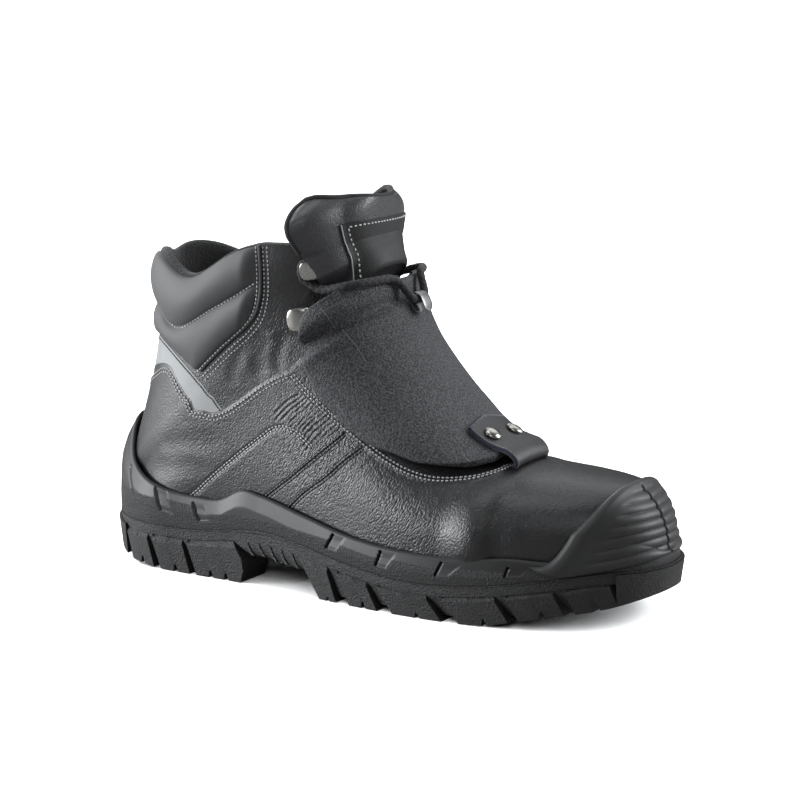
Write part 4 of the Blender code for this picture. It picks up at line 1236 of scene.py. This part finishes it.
for side in SIDES:
    for shift in (1.0, 2.8):
        sew(light_stitches, THROAT_SEAM, side, -shift, 2 * LEATHER_STEP)
        sew(light_stitches, COUNTER_SEAM, side, shift, LEATHER_STEP)
    for shift in (-0.7, 0.7):
        sew(light_stitches, SADDLE_SEAM, side, shift, LEATHER_STEP - 0.3)
        for places in SIDE_SEAMS:
            sew(dark_stitches, places, side, 1.2 * shift, LEATHER_STEP)
PAD_SEAM = (
    (18.98, 0.426),
    (18.58, 0.424),
    (18.05, 0.42),
    (17.4, 0.415),
    (16.65, 0.411),
    (16.02, 0.417),
    (15.76, 0.443),
    (15.66, 0.483),
    (15.6, 0.517),
    (15.5, 0.552),
    (15.42, 0.583),
    (15.35, 0.6),
)
CHANNEL = (
    (17.43, 0.422),
    (17.3, 0.478),
    (17.23, 0.532),
    (17.18, 0.598),
    (17.12, 0.653),
    (17.15, 0.723),
    (17.48, 0.778),
)
for side in SIDES:
    for shift in (3.2, 5.3):
        sew(light_stitches, PAD_SEAM, side, shift, 0.35)
    sew(light_stitches, PAD_SEAM, side, 0.0, 1.5)
    sew(light_stitches, CHANNEL, side, 0.0, 2.0)
    sew(dark_stitches, STRIP_TOP, side, 1.3, 0.5, 1.9)


def circle(count):
    """Even angles once round."""
    return np.arange(count) * 2 * math.pi / count


def thread_mesh(marks, radius=STITCH_RADIUS, long=STITCH_LONG):
    """Points and faces of one bead for each mark."""
    middle, way, up = (np.concatenate(values) for values in zip(*marks))
    way = unit(way)
    across = unit(np.cross(up, way))
    up = np.cross(way, across)
    ends = table("at wide", (-1, 0.3), (-0.75, 0.85), (0, 1), (0.75, 0.85), (1, 0.3))
    turn = circle(6)
    spokes = np.cos(turn)[:, None, None] * across + np.sin(turn)[:, None, None] * up
    rings = [middle + way * at * long / 2 + spokes * wide * radius for at, wide in rows_of(ends)]
    points = np.array(rings).transpose(2, 0, 1, 3).reshape(-1, 3)
    bead = grid_faces(5, 6, closed=True) + [list(range(6)), list(range(24, 30))]
    faces = [[corner + 30 * number for corner in face] for number in range(len(middle)) for face in bead]
    return points, faces


def thread(name, colour):
    """Twisted sewing thread; in near black it also makes the painted shade of the needle holes."""
    return fine_grained(name, 0.3, 0.5, 0.1, Base_Color=colour, Roughness=0.6)


grey_thread = thread("grey thread", (0.42, 0.42, 0.43, 1))
black_thread = thread("black thread", (0.11, 0.11, 0.112, 1))
# The needle-hole material is painted shade: near-black beads that stand in for the dark of the holes
# between stitches.
hole_shade_black = thread("needle hole painted shade", (0.002, 0.002, 0.002, 1))
shoe_piece("stitches_grey", *thread_mesh(light_stitches), grey_thread, "stitching", sharp=80)
shoe_piece("stitches_black", *thread_mesh(dark_stitches), black_thread, "stitching", sharp=80)
shoe_piece("hole_shade_beads", *thread_mesh(hole_shade_beads, 0.42, 1.0), hole_shade_black, "stitching", sharp=80)


# Collar fold: the folded leather ridge between the stitch rows at the front of the pad. It is a
# narrow bead of the pad's leather, sewn down along the seam.
FOLD_RADIUS = 0.9


def tube(path, radius, sides):
    """Points and faces of a closed round bar; radius is a value or one for each ring and side."""
    way = unit(np.gradient(path, axis=0))
    upright = np.array([0.3, 0.2, 1.0])
    turn = circle(sides)
    radius = np.broadcast_to(radius, (len(path), sides))
    points = np.empty((len(path), sides, 3))
    for i, (centre, run) in enumerate(zip(path, way)):
        across = np.cross(run, upright)
        across /= np.linalg.norm(across)
        upright = np.cross(across, run)
        spokes = np.cos(turn)[:, None] * across + np.sin(turn)[:, None] * upright
        points[i] = centre + spokes * radius[i][:, None]
    ends = [list(range(sides)), list(range((len(path) - 1) * sides, len(path) * sides))]
    return points.reshape(-1, 3), grid_faces(len(path), sides, closed=True) + ends


fold = [(row, share - 0.009) for row, share in PAD_SEAM]
folds = [tube(seam_path(fold, side, 0.8)[2], FOLD_RADIUS, 10) for side in SIDES]
shoe_piece("collar_fold", *join(folds), pad_leather, "collar_leather", sharp=70)


# Insole: flat cloth footbed laid in on the midsole, inside the lining. It follows the sole
# outline, drawn in from it, and its top edge is bevelled.
insole_levels = ((9.8, 0.4, 0.5), (9.8, 2.8, 0.8), (11, 4.0, 1.0))
feather = height("feather", ALONG * LENGTH)
points = [outline_loop(ALONG, inset, feather + rise, lean) for inset, rise, lean in insole_levels]
shoe_piece("insole", points, stack_faces(len(points), len(ALONG)), lining, "lining", ["insole"])


# Tongue: soft leather over foam, sewn in at the throat, under both facings and free above the collar.
# A bound edge runs round its top, and its middle curls back a little.
TONGUE_CLEAR = WALL + 1.1  # from the upper's surface in to the tongue's outer face
TONGUE_ROWS = (6.3, 18.0)  # sewn end, and row from which it stands free
BINDING_RADIUS = 1.5
TONGUE = table(
    "row half pad",
    (6.3, 10, 3),
    (7.2, 25, 4),
    (8.5, 31, 5),
    (11, 32, 6.5),
    (14, 30.5, 7.5),
    (16.5, 31, 8),
    (17.3, 32.5, 8),
    (18, 33.8, 8),
)
TONGUE_ACROSS = np.linspace(-1, 1, 61)
TONGUE_EDGE = table(
    "across top",
    (-1, 184),
    (-0.97, 187.6),
    (-0.93, 189),
    (-0.88, 188.7),
    (-0.8, 188.4),
    (-0.7, 188.5),
    (-0.6, 188.5),
    (-0.3, 188),
    (0, 187.3),
    (0.3, 187),
    (0.6, 187.3),
    (0.78, 187.6),
    (0.88, 187.4),
    (0.95, 186),
    (1, 181.5),
)


def tongue_row(row, shift):
    """Points across the tongue on one row, moved off its outer face; its wings lie over the facings."""
    half = float(smooth(TONGUE, "half", row, "row"))
    deep = float(smooth(TONGUE, "pad", row, "row"))
    points = []
    for w in TONGUE_ACROSS:
        side = LATERAL if w < 0 else MEDIAL
        wing = float(ease((row - 14.6) / 1.6) * ease((abs(w) - 0.7) / 0.3))
        lift = -TONGUE_CLEAR * (1 - wing) + 7.5 * wing - shift * (2.5 + deep * (1 - w * w))
        point = skin(row, half_share(row, abs(w) * half, side), side, lift)
        forward = float(ease((row - 12.6) / 1.6)) * (9.5 - 0.9 * (row - 14.2))
        points.append(point + (forward * (1 - 0.6 * wing), 0, 0))
    return np.array(points)


def tongue_grid(shift):
    """Outer face of the tongue, or its inner face where shift is 1."""
    rows = [tongue_row(row, shift) for row in np.linspace(*TONGUE_ROWS, 60)]
    front, back = (tongue_row(TONGUE_ROWS[1], face) for face in (0, 1))
    wide = np.abs(TONGUE_ACROSS)
    top = smooth(TONGUE_EDGE, "top", TONGUE_ACROSS, "across")
    for rise in np.linspace(0, 1, 26)[1:]:
        flare = 0.22 * min(rise / 0.5, 1) ** 0.8 - 0.3 * max(rise / 0.4 - 1.5, 0) ** 2
        x = front[:, 0] + (0.5 - 6.5 * wide**3) * rise
        z = front[:, 2] + (top - front[:, 2]) * rise
        face = np.stack([x, front[:, 1] * (1 + flare), z], 1)
        depth = (front - back) * (1 - 0.55 * rise**3) * (1, 1, 0.3)
        rows.append(face - depth * shift)
    return np.array(rows)


tongue_face, tongue_back = tongue_grid(0), tongue_grid(1)
tongue_leather = leather("tongue leather", (0.038, 0.038, 0.041, 1), 0.45, 1.0, 0.3, 0.2, Coat_Weight=0.1)
mesh = shell(tongue_face, tongue_back)
tongue = shoe_piece("tongue", *mesh, tongue_leather, "tongue_leather", ["tongue"], 60)
BINDING_BLACK = (0.012, 0.012, 0.013, 1)
binding = fine_grained("edge binding", 0.5, 0.6, 0.25, Base_Color=BINDING_BLACK, Roughness=0.8)
middle = (tongue_face + tongue_back) / 2
BINDING_FROM = 62  # row of the grid where the free edge begins
rim = np.concatenate([middle[BINDING_FROM:, 0], middle[-1, 1:-1], middle[: BINDING_FROM - 1 : -1, -1]])
shoe_piece("tongue_binding", *tube(rim, BINDING_RADIUS, 10), binding, "tongue_leather", sharp=70)


# Label patch: a plain dark piece of leather sewn on the front of the tongue, with white thread near
# its top and left edges and a light binding along the left.
PATCH_ROWS = (38, 71)
PATCH_LEFT = (-0.83, -0.765)  # across the tongue, at its foot and its top
PATCH_RIGHT = 0.85
PATCH_EDGE_RADIUS = 0.35
WIDE_PITCH = 2.6  # between the wider stitches of patch and tab
patch_grid = []
lefts = np.linspace(*PATCH_LEFT, PATCH_ROWS[1] - PATCH_ROWS[0])
for line, left in zip(tongue_face[slice(*PATCH_ROWS)], lefts):
    at = np.linspace(left, PATCH_RIGHT, 50)
    patch_grid.append(at_length(at, TONGUE_ACROSS, line))
patch_grid = np.array(patch_grid)
out = unit(np.cross(np.gradient(patch_grid, axis=1), np.gradient(patch_grid, axis=0)))
out *= np.sign(out[..., :1])
patch_leather = leather("patch leather", (0.009, 0.009, 0.0095, 1), 0.68, 0.9, 0.1, 0.1)
patch_face = patch_grid + out * 0.9
shoe_piece("label_patch", *shell(patch_face, patch_grid + out * 0.1), patch_leather, "tongue_leather")
white_thread = thread("white thread", (0.6, 0.6, 0.6, 1))
marks = [
    stitch_marks(patch_face[:-2, 2] + out[:-2, 2] * 0.1, out[:-2, 2], 0.0, WIDE_PITCH),
    stitch_marks(patch_face[-3, 2:] + out[-3, 2:] * 0.1, out[-3, 2:], 0.0, WIDE_PITCH),
]
shoe_piece("patch_stitches", *thread_mesh(marks), white_thread, "stitching", sharp=80)
mesh = tube(patch_face[:, 0], PATCH_EDGE_RADIUS, 8)
shoe_piece("patch_edge", *mesh, grey_thread, "tongue_leather", sharp=80)


# Instep guard: a stiff shield covered in dull blue-grey grained leather, over the lacing and the
# tongue; a soft crease crosses it below the hook, and its edges are turned in.
GUARD_THICK = 3.0
GUARD = table(
    "s x z half depth turn sweep",
    (0, 221, 74.8, 29, 6, 45, 0),
    (1, 212, 77.8, 36, 12, 72, 0),
    (2, 202, 85, 42.5, 21, 84, 0),
    (3, 194, 93.5, 45.5, 28, 88, 0),
    (4, 186, 102.5, 46.5, 34, 90, 0),
    (5, 177.5, 113.5, 46, 38.5, 90, 0),
    (6, 170, 124, 46, 40.5, 90, 2),
    (7, 163, 137, 46, 37, 87, 5),
    (7.6, 159.7, 144.4, 45, 31.5, 78, 8),
    (8, 157.5, 149, 44, 27, 54, 10),
)


def guard(s, turn, lift=0.0):
    """Points of the guard: s runs up its ridge, turn in degrees goes round to a side."""
    s, turn, lift = np.broadcast_arrays(*(np.asarray(value, float) for value in (s, turn, lift)))
    at = {name: smooth(GUARD, name, s, "s") for name in GUARD}
    low, high = np.maximum(s - 0.1, 0), np.minimum(s + 0.1, 8)
    run = smooth(GUARD, "x", high, "s") - smooth(GUARD, "x", low, "s")
    climb = smooth(GUARD, "z", high, "s") - smooth(GUARD, "z", low, "s")
    out_x, out_z = climb / np.hypot(climb, run), -run / np.hypot(climb, run)
    angle = np.radians(turn)
    across, away = np.sin(angle) / at["half"], np.cos(angle) / at["depth"]
    scale = np.hypot(across, away)
    y = at["half"] * np.sin(angle) + lift * across / scale
    away = lift * away / scale - at["depth"] * (1 - np.cos(angle))
    up = at["sweep"] * (1 - np.cos(angle))
    return np.stack([at["x"] + out_x * away - out_z * up, y, at["z"] + out_z * away + out_x * up], -1)


GUARD_CREASE = table(
    "turn s wide deep",
    (-95, 6.62, 2.4, 4.6),
    (-81, 6.75, 2.4, 4.0),
    (-57, 6.92, 2.6, 2.8),
    (-33, 7.1, 3.0, 2.0),
    (-3, 7.3, 3.6, 1.2),
    (18, 7.42, 4.5, 0.6),
    (45, 7.5, 5.0, 0.1),
    (95, 7.5, 5.0, 0.0),
)


def guard_lift(s, turn):
    """Height of the guard's cover over its form: crease, bulges beside it and turned edges."""
    most = smooth(GUARD, "turn", s, "s")
    at, wide, deep = (smooth(GUARD_CREASE, name, turn, "turn") for name in ("s", "wide", "deep"))
    along = (s - at) * 14
    trough = hump(along, 0, wide)
    bulge = hump(along, 2.2 * wide, 1.5 * wide)
    lower = hump(along, -1.7 * wide, wide)
    from_border = np.minimum((most - np.abs(turn)) * 0.75, np.minimum(s, 8 - s) * 13)
    return deep * (0.6 * bulge + 0.25 * lower - trough) - 1.1 * (1 - ease(0.25 + from_border / 2.4)) + 0.35


s = np.linspace(0, 8, 210)[:, None]
turn = smooth(GUARD, "turn", s, "s") * np.linspace(-1, 1, 150)
lift = guard_lift(s, turn)
guard_leather, tree, shader = new_material("guard leather", Roughness=0.64)
grain = use_group(tree, moulded, {"Size": 0.8})
# Painted shade and light in the base colour: near black in the grain's pits, lighter blue-grey on its tops,
# following the bump's height.
grain_shading = add(tree, "ValToRGB", {"Fac": grain["Height"]})
GRAIN_SHADE_STOPS = ((0.4, (0.006, 0.0062, 0.0075, 1)), (0.62, (0.07, 0.0715, 0.08, 1)))  # height and colour
for stop, (grain_height, colour) in zip(grain_shading.color_ramp.elements, GRAIN_SHADE_STOPS):
    stop.position = grain_height
    stop.color = colour
tree.links.new(grain_shading.outputs["Color"], shader.inputs["Base Color"])
add_bump(tree, shader, grain["Height"], 1.0, 0.9)
mesh = shell(guard(s, turn, lift), guard(s, turn, -GUARD_THICK))
shoe_piece("instep_guard", *mesh, guard_leather, "guard_leather", ["instep_guard"], 60)
SCRATCH_RADIUS = 0.14
SCRATCHES = (  # places on the guard: s and turn
    ((7.5, -70), (7.25, -65), (6.9, -60)),
    ((6.85, -56), (6.6, -54), (6.25, -51), (5.8, -50)),
    ((2, -38), (1.4, -46), (0.75, -65)),
)
scuffs = []
for places in SCRATCHES:
    at = np.linspace(0, len(places) - 1, 60)
    s_at, turn_at = (np.interp(at, np.arange(len(places)), values) for values in zip(*places))
    scuffs.append(tube(guard(s_at, turn_at, guard_lift(s_at, turn_at) + 0.02), SCRATCH_RADIUS, 5))
SCUFF_GREY = (0.16, 0.16, 0.165, 1)
scuffed = fine_grained("scuffed leather", 0.8, 0.5, 0.2, Base_Color=SCUFF_GREY, Roughness=0.8)
shoe_piece("guard_scratches", *join(scuffs), scuffed, "guard_leather", sharp=80)


# Guard tab: a leather strap riveted on the guard, rolled forward and sewn under to the vamp. Its
# raw edges are dark blue suede.
TAB_THICK = 2.0
TAB_HALF = 16.0  # half the width
TAB_EDGE_RADIUS = 1.25


def guard_at(s, y, lift):
    """Point over the guard at s on its ridge and y to the side."""
    return guard(s, np.degrees(np.arcsin(y / smooth(GUARD, "half", s, "s"))), lift)


def vamp_at(x, y, lift):
    """Point over the vamp at x and y."""
    side = LATERAL if y < 0 else MEDIAL
    low, high = 3.0, 9.0
    for _ in range(24):
        row = (low + high) / 2
        share = half_share(row, abs(y), side)
        low, high = (row, high) if skin(row, share, side)[0] > x else (low, row)
    return skin(row, share, side, lift)


def tab_path(w):
    """Middle of the strap's thickness from its end on the guard to its end on the vamp."""
    y = TAB_HALF * w
    upper_end = 2.0 * (1 - 0.12 * abs(w))
    path = [guard_at(s, y, 1.65) for s in (upper_end, 1.5, 1.0, 0.5, 0.05)]
    low = [vamp_at(x, y * 0.92, 1.3) for x in (226, 223.5)]
    centre = (path[-1] + low[0]) / 2
    lean = path[-1] - centre
    for turn in (30, 60, 90, 120, 150):
        angle = math.radians(turn)
        path.append(centre + lean * math.cos(angle) + np.array([4.0 * math.sin(angle), 0, 0]))
    path = np.array(path + low)
    run = run_along(path)
    columns = {"at": run / run[-1], "x": path[:, 0], "y": path[:, 1], "z": path[:, 2]}
    at = np.linspace(0, 1, 60)
    return np.stack([smooth(columns, name, at, "at") for name in "xyz"], 1)


tab = np.array([tab_path(w) for w in np.linspace(-1, 1, 41)])
way = np.gradient(tab, axis=1)
tab_up = unit(np.stack([way[..., 2], 0 * way[..., 1], -way[..., 0]], -1))
tab_leather = leather("tab leather", (0.02, 0.02, 0.0215, 1), 0.5, 0.9, 0.15, 0.12)
SUEDE_BLUE = (0.02, 0.022, 0.04, 1)
suede = fine_grained("suede edge", 0.8, 1.0, 0.5, Base_Color=SUEDE_BLUE, Roughness=0.95, Sheen_Weight=0.4)
mesh = shell(tab + tab_up * TAB_THICK / 2, tab - tab_up * TAB_THICK / 2)
shoe_piece("guard_tab", *mesh, tab_leather, "tab_leather", ["guard_tab"], 50)
edges = [tube(tab[i, :57] + tab_up[i, :57] * 0.1, TAB_EDGE_RADIUS, 8) for i in (0, -1)]
edges.append(tube(tab[:, 0] + tab_up[:, 0] * 0.1, TAB_EDGE_RADIUS, 8))
shoe_piece("tab_edge", *join(edges), suede, "tab_leather", sharp=70)


def tab_border(grid):
    """Line near the edges of the strap: up one side, across its end and down the other."""
    return np.concatenate([grid[3, 50:3:-1], grid[4:37, 4], grid[37, 4:51]])


border, border_up = tab_border(tab), tab_border(tab_up)
marks = [stitch_marks(border + border_up * (TAB_THICK / 2 + 0.1), border_up, 0.0, WIDE_PITCH)]
shoe_piece("tab_stitches", *thread_mesh(marks), grey_thread, "stitching", sharp=80)


# Rivets: two domed nickel heads, turned from a profile, that hold tab and guard together. Their
# shanks go through both and don't show.
NICKEL = (0.34, 0.33, 0.31, 1)
nickel = fine_grained("nickel", 0.6, rough=(0.22, 0.36), Base_Color=NICKEL, Metallic=1.0, Roughness=0.24)
RIVET_RADIUS = 4.2
RIVET_SIDES = 32
RIVETS = table("s y", (1.1, -9), (0.9, 9))
RIVET_PROFILE = table(
    "share rise",
    (0.9, -0.5),
    (1, 0),
    (0.99, 0.45),
    (0.93, 0.9),
    (0.78, 1.35),
    (0.55, 1.7),
    (0.3, 1.9),
    (0.1, 1.95),
)


def fitting_axes(up, along):
    """Unit directions of a small fitting: away from the surface, along it and across."""
    up = up / np.linalg.norm(up)
    along = along - up * np.dot(along, up)
    along = along / np.linalg.norm(along)
    return up, along, np.cross(up, along)


for number, (s, y) in enumerate(rows_of(RIVETS), 1):
    up, along, across = fitting_axes(guard_at(s, y, 5) - guard_at(s, y, 0), np.array([0, 1.0, 0]))
    turn = circle(RIVET_SIDES)
    spokes = np.cos(turn)[:, None] * along + np.sin(turn)[:, None] * across
    origin = guard_at(s, y, 1.2 + TAB_THICK)
    rings = [origin + spokes * RIVET_RADIUS * share + up * rise for share, rise in rows_of(RIVET_PROFILE)]
    final = (len(rings) - 1) * RIVET_SIDES
    faces = grid_faces(len(rings), RIVET_SIDES, closed=True)
    faces += [list(range(RIVET_SIDES)), list(range(final, final + RIVET_SIDES))]
    name = f"tab_rivet_{number}"
    shoe_piece(name, np.concatenate(rings), faces, nickel, "nickel", [name], 50)


# Lace hooks: nickel plates bent back on themselves, riveted along both facings and open to the back,
# and one on the guard that opens downward.
HOOK_ROWS = (16.8, 13.6, 10.9, 9.35, 8.15)
HOOK_BACK = (8.5, 6, 7, 7, 7)  # from the facing edge to the middle of a hook
HOOK_HALF = (4.4, 5.2, 4.4, 4.4, 4.4)  # half the width
HOOK_THICK = 0.9
TALL = 1.3  # hooks that hold the thicker loop
GUARD_HOOK = (6.95, 4)  # place on the guard: s and turn
HOOK_BEND = table(
    "at out rise",
    (0, 4.6, 0.5),
    (0.2, 1, 0.5),
    (0.36, -2.8, 0.55),
    (0.43, -4.2, 1.2),
    (0.5, -4.7, 2.6),
    (0.57, -4.2, 4.0),
    (0.64, -2.8, 4.75),
    (0.82, 1.5, 5.1),
    (1, 5.8, 4.4),
)


def hook_mesh(origin, up, out, tall, wide):
    """Bent plate with rounded ends: out points to its open side."""
    up, out, along = fitting_axes(up, out)
    at = np.linspace(0, 1, 44)
    reach = smooth(HOOK_BEND, "out", at, "at")
    rise = smooth(HOOK_BEND, "rise", at, "at")
    rise = np.where(rise > 1, 1 + (rise - 1) * tall, rise)
    half = wide * (1 - np.clip((np.abs(at - 0.5) - 0.36) / 0.14, 0, 1) ** 2.4) ** (1 / 2.4)
    half = np.maximum(half, 0.6)
    path = origin + reach[:, None] * out + rise[:, None] * up
    way = np.gradient(path, axis=0)
    face = unit(np.cross(along, way))
    across = np.sin(np.linspace(-1, 1, 15) * math.pi / 2)
    middle = path[:, None] + across[:, None] * half[:, None, None] * along
    rounding = HOOK_THICK / 2 * np.sqrt(1.02 - across**4)[:, None] * face[:, None]
    return shell(middle + rounding, middle - rounding)


def hook_place(number, side):
    """Row and share of the upper at the middle of one hook."""
    row = HOOK_ROWS[number]
    return row, throat_share(row, side) + HOOK_BACK[number] / section(row, side)[5]


def facing_place(number, side):
    """Place of one hook on its facing, with the way out of the leather and to the back."""
    row, share = hook_place(number, side)
    back = skin(row, min(share + 0.03, 1), side) - skin(row, share, side)
    if number < 2:
        back[2] *= 0.1
    lift = float(leather_lift(row, share, side)) + 0.4
    return skin(row, share, side, lift), look_up(outward[side], np.array(row), np.array(share)), back


for side, word in ((LATERAL, "lateral"), (MEDIAL, "medial")):
    for number in range(len(HOOK_ROWS)):
        name = f"lace_hook_{word}_{number + 1}"
        mesh = hook_mesh(*facing_place(number, side), TALL if number == 0 else 1.0, HOOK_HALF[number])
        shoe_piece(name, *mesh, nickel, "nickel", [name], 60)
hook_s, hook_turn = GUARD_HOOK
guard_hook = guard(hook_s, hook_turn, 0.4)
hook_up = guard(hook_s, hook_turn, 5) - guard(hook_s, hook_turn)
hook_down = guard(hook_s - 0.4, hook_turn) - guard(hook_s, hook_turn)
GUNMETAL = (0.2, 0.2, 0.2, 1)
gunmetal = fine_grained("gunmetal", 0.6, rough=(0.3, 0.5), Base_Color=GUNMETAL, Metallic=1.0, Roughness=0.4)
mesh = hook_mesh(guard_hook, hook_up, hook_down, TALL, HOOK_HALF[0])
shoe_piece("guard_hook", *mesh, gunmetal, "nickel", ["guard_hook"], 60)


# Lace: one round black braid. Two strands cross from hook to hook under the guard, and a loop runs
# from the top hook of each facing round the hook on the guard.
LACE_RADIUS = 1.35
LOOP_RADIUS = 1.95
LACE_NECK = 2.55  # height of the lace over the base of a hook
LOOP_NECK = 3.15
LACE_LIFT = 2.2  # height of the strands over the tongue
LACE_WAYS = ((-7.0, -7.0), (0.2, -7.0), (0.2, 7.0), (-7.0, 7.0))  # to a hook's open side and along it
LOOP_WAYS = ((-5, -8.5), (-1.4, -5.8), (-1.4, 5.8), (-5, 8.5))
LOOP_END_WAYS = ((-2, 3), (5, 3.5), (5.5, -4), (3, -6))
BRAID_STEP = 0.45  # between rings of the braid
BRAID_PITCH = 3.6  # length of one turn of its strands
BRAID_BLACK = (0.008, 0.008, 0.009, 1)
braid = fine_grained("lace braid", 0.4, 0.6, 0.2, Base_Color=BRAID_BLACK, Roughness=0.75, Sheen_Weight=0.1)


def around(origin, up, out, along, neck, ways):
    """Points of the lace round a hook, at a height over its base."""
    return [origin + up * neck + out * reach + along * shift for reach, shift in ways]


def around_facing(number, side, neck, ways):
    """Points round a hook of the facing, taken upward."""
    origin, up, back = facing_place(number, side)
    up, back, rising = fitting_axes(up, back)
    return around(origin, up, back, rising if rising[2] > 0 else -rising, neck, ways)


def over_tongue(start, end, lift):
    """Strand over the tongue between two hooks, given by hook number and side."""
    ends = [hook_place(*start), hook_place(*end)]
    first, final = start[1] * (ends[0][1] - 0.1), end[1] * (ends[1][1] - 0.1)
    path = []
    for way in (0.2, 0.5, 0.8):
        share = first + (final - first) * way
        row = ends[0][0] + (ends[1][0] - ends[0][0]) * way
        path.append(skin(row, abs(share), LATERAL if share < 0 else MEDIAL, lift))
    return path


def rounded(path, times):
    """Path with its corners cut."""
    path = np.array(path)
    for _ in range(times):
        near = path[:-1] * 0.75 + path[1:] * 0.25
        far = path[:-1] * 0.25 + path[1:] * 0.75
        cut = np.stack([near, far], 1).reshape(-1, 3)
        path = np.concatenate([path[:1], cut[1:-1], path[-1:]])
    return path


def braided(path, radius, sides):
    """Round braid along a path: its strands stand out in a crossing pattern."""
    run = run_along(path)
    at = np.linspace(0, run[-1], int(run[-1] / BRAID_STEP))
    path = at_length(at, run, path)
    turn = circle(sides)
    wind = at[:, None] * 2 * math.pi / BRAID_PITCH
    strands = np.maximum(np.cos(3 * turn + wind), np.cos(3 * turn - wind))
    return tube(path, radius * (0.93 + 0.09 * strands), sides)


strands = []
for begin in SIDES:
    path = over_tongue((4, -begin), (4, begin), LACE_LIFT)[begin == MEDIAL:]
    side = begin
    for number in (4, 3, 2):
        path += around_facing(number, side, LACE_NECK, LACE_WAYS)
        path += over_tongue((number, side), (number - 1, -side), LACE_LIFT + 0.4 * (begin == MEDIAL))
        side = -side
    path += around_facing(1, side, LACE_NECK, LACE_WAYS[:2])
    strands.append(braided(rounded(path, 4), LACE_RADIUS, 12))
shoe_piece("lace", *join(strands), braid, "lace_cord", ["lace"], 70)
LOOP_REST = (14.35, 0.18, 5.0)  # row, share and lift where it lies on the tongue
LOOP_TURNS = (54, 32, 16)  # where it lies on the top edge of the guard
GUARD_RIM_LIFT = 3.2


def half_loop(side):
    """Strand from one top hook, which hides its end, to its side of the guard hook."""
    start = around_facing(0, side, LOOP_NECK, LOOP_END_WAYS)
    row, share, lift = LOOP_REST
    rim = [guard(8, hook_turn + side * turn, GUARD_RIM_LIFT) + (0, 0, 0.3) for turn in LOOP_TURNS]
    return start + [skin(row, share, side, lift)] + rim


up, out, across = fitting_axes(hook_up, hook_down)
across = across * math.copysign(1, across[1])
turned = around(guard_hook, up, out, across, LOOP_NECK, LOOP_WAYS)
loop = rounded(half_loop(LATERAL) + turned + half_loop(MEDIAL)[::-1], 4)
shoe_piece("lace_loop", *braided(loop, LOOP_RADIUS, 20), braid, "lace_cord", ["lace_loop"], 70)


# Studio: a plain white floor, a camera a little over the shoe, and soft square lights around it.
# A wide sun that only the floor receives keeps it pale and the contact shadow soft.
floor_mesh = bpy.data.meshes.new("floor")
floor_mesh.from_pydata([(-8, -8, 0), (8, -8, 0), (8, 8, 0), (-8, 8, 0)], [], [(0, 1, 2, 3)])
floor = bpy.data.objects.new("floor", floor_mesh)
bpy.context.scene.collection.objects.link(floor)
floor_white, tree, shader = new_material("floor white", Roughness=0.9)
seen = add(tree, "LightPath").outputs["Is Camera Ray"]
tones = {0: seen, 6: (0.12, 0.12, 0.12, 1), 7: (0.95, 0.95, 0.95, 1)}  # in reflections and as seen
pale = add(tree, "Mix", tones, data_type="RGBA").outputs[2]
tree.links.new(pale, shader.inputs["Base Color"])
floor_mesh.materials.append(floor_white)
CAMERA_ROUND = math.radians(30)
CAMERA_UP = math.radians(11)
AIM = Vector((0.006, 0, 0.0899))
CAMERA_FAR = 1.4
back = Vector(
    (
        math.sin(CAMERA_ROUND) * math.cos(CAMERA_UP),
        -math.cos(CAMERA_ROUND) * math.cos(CAMERA_UP),
        math.sin(CAMERA_UP),
    )
)
camera_data = bpy.data.cameras.new("camera")
camera_data.sensor_width = 36
camera_data.lens = 131.8
camera = bpy.data.objects.new("camera", camera_data)
camera.location = AIM + back * CAMERA_FAR
camera.rotation_euler = back.to_track_quat("Z", "Y").to_euler()
bpy.context.scene.collection.objects.link(camera)
bpy.context.scene.camera = camera


def soft_light(name, place, size, power):
    """Square light that faces the shoe."""
    data = bpy.data.lights.new(name, "AREA")
    data.size = size
    data.energy = power
    data.color = (0.96, 0.98, 1.0)
    lamp = bpy.data.objects.new(name, data)
    lamp.location = place
    lamp.rotation_euler = (Vector(place) - AIM).to_track_quat("Z", "Y").to_euler()
    bpy.context.scene.collection.objects.link(lamp)


LIGHTS = (
    ("left light", (-1.35, -0.35, 0.55), 1.2, 22),
    ("low left light", (-1.1, -0.8, 0.2), 0.5, 19),
    ("front light", (0.6, -1.2, 0.9), 0.8, 5.5),
    ("top light", (-0.2, -0.1, 1.3), 0.8, 6),
    ("top back light", (0, 0.8, 1.0), 0.8, 4),
    ("right back light", (1.0, 0.75, 0.6), 0.7, 19),
    ("left back light", (-0.9, 0.9, 0.6), 0.8, 5),
)
for light in LIGHTS:
    soft_light(*light)
floor_only = bpy.data.collections.new("floor only")
floor_only.objects.link(floor)
sun_data = bpy.data.lights.new("floor light", "SUN")
sun_data.energy = 4.0
sun_data.angle = math.radians(132)
sun = bpy.data.objects.new("floor light", sun_data)
sun.light_linking.receiver_collection = floor_only
bpy.context.scene.collection.objects.link(sun)
world = bpy.data.worlds.new("studio")
bpy.context.scene.world = world
world.use_nodes = True
backdrop = world.node_tree.nodes["Background"].inputs
backdrop["Color"].default_value = (1, 1, 1, 1)
backdrop["Strength"].default_value = 0.02
bpy.context.scene.view_settings.view_transform = "Standard"
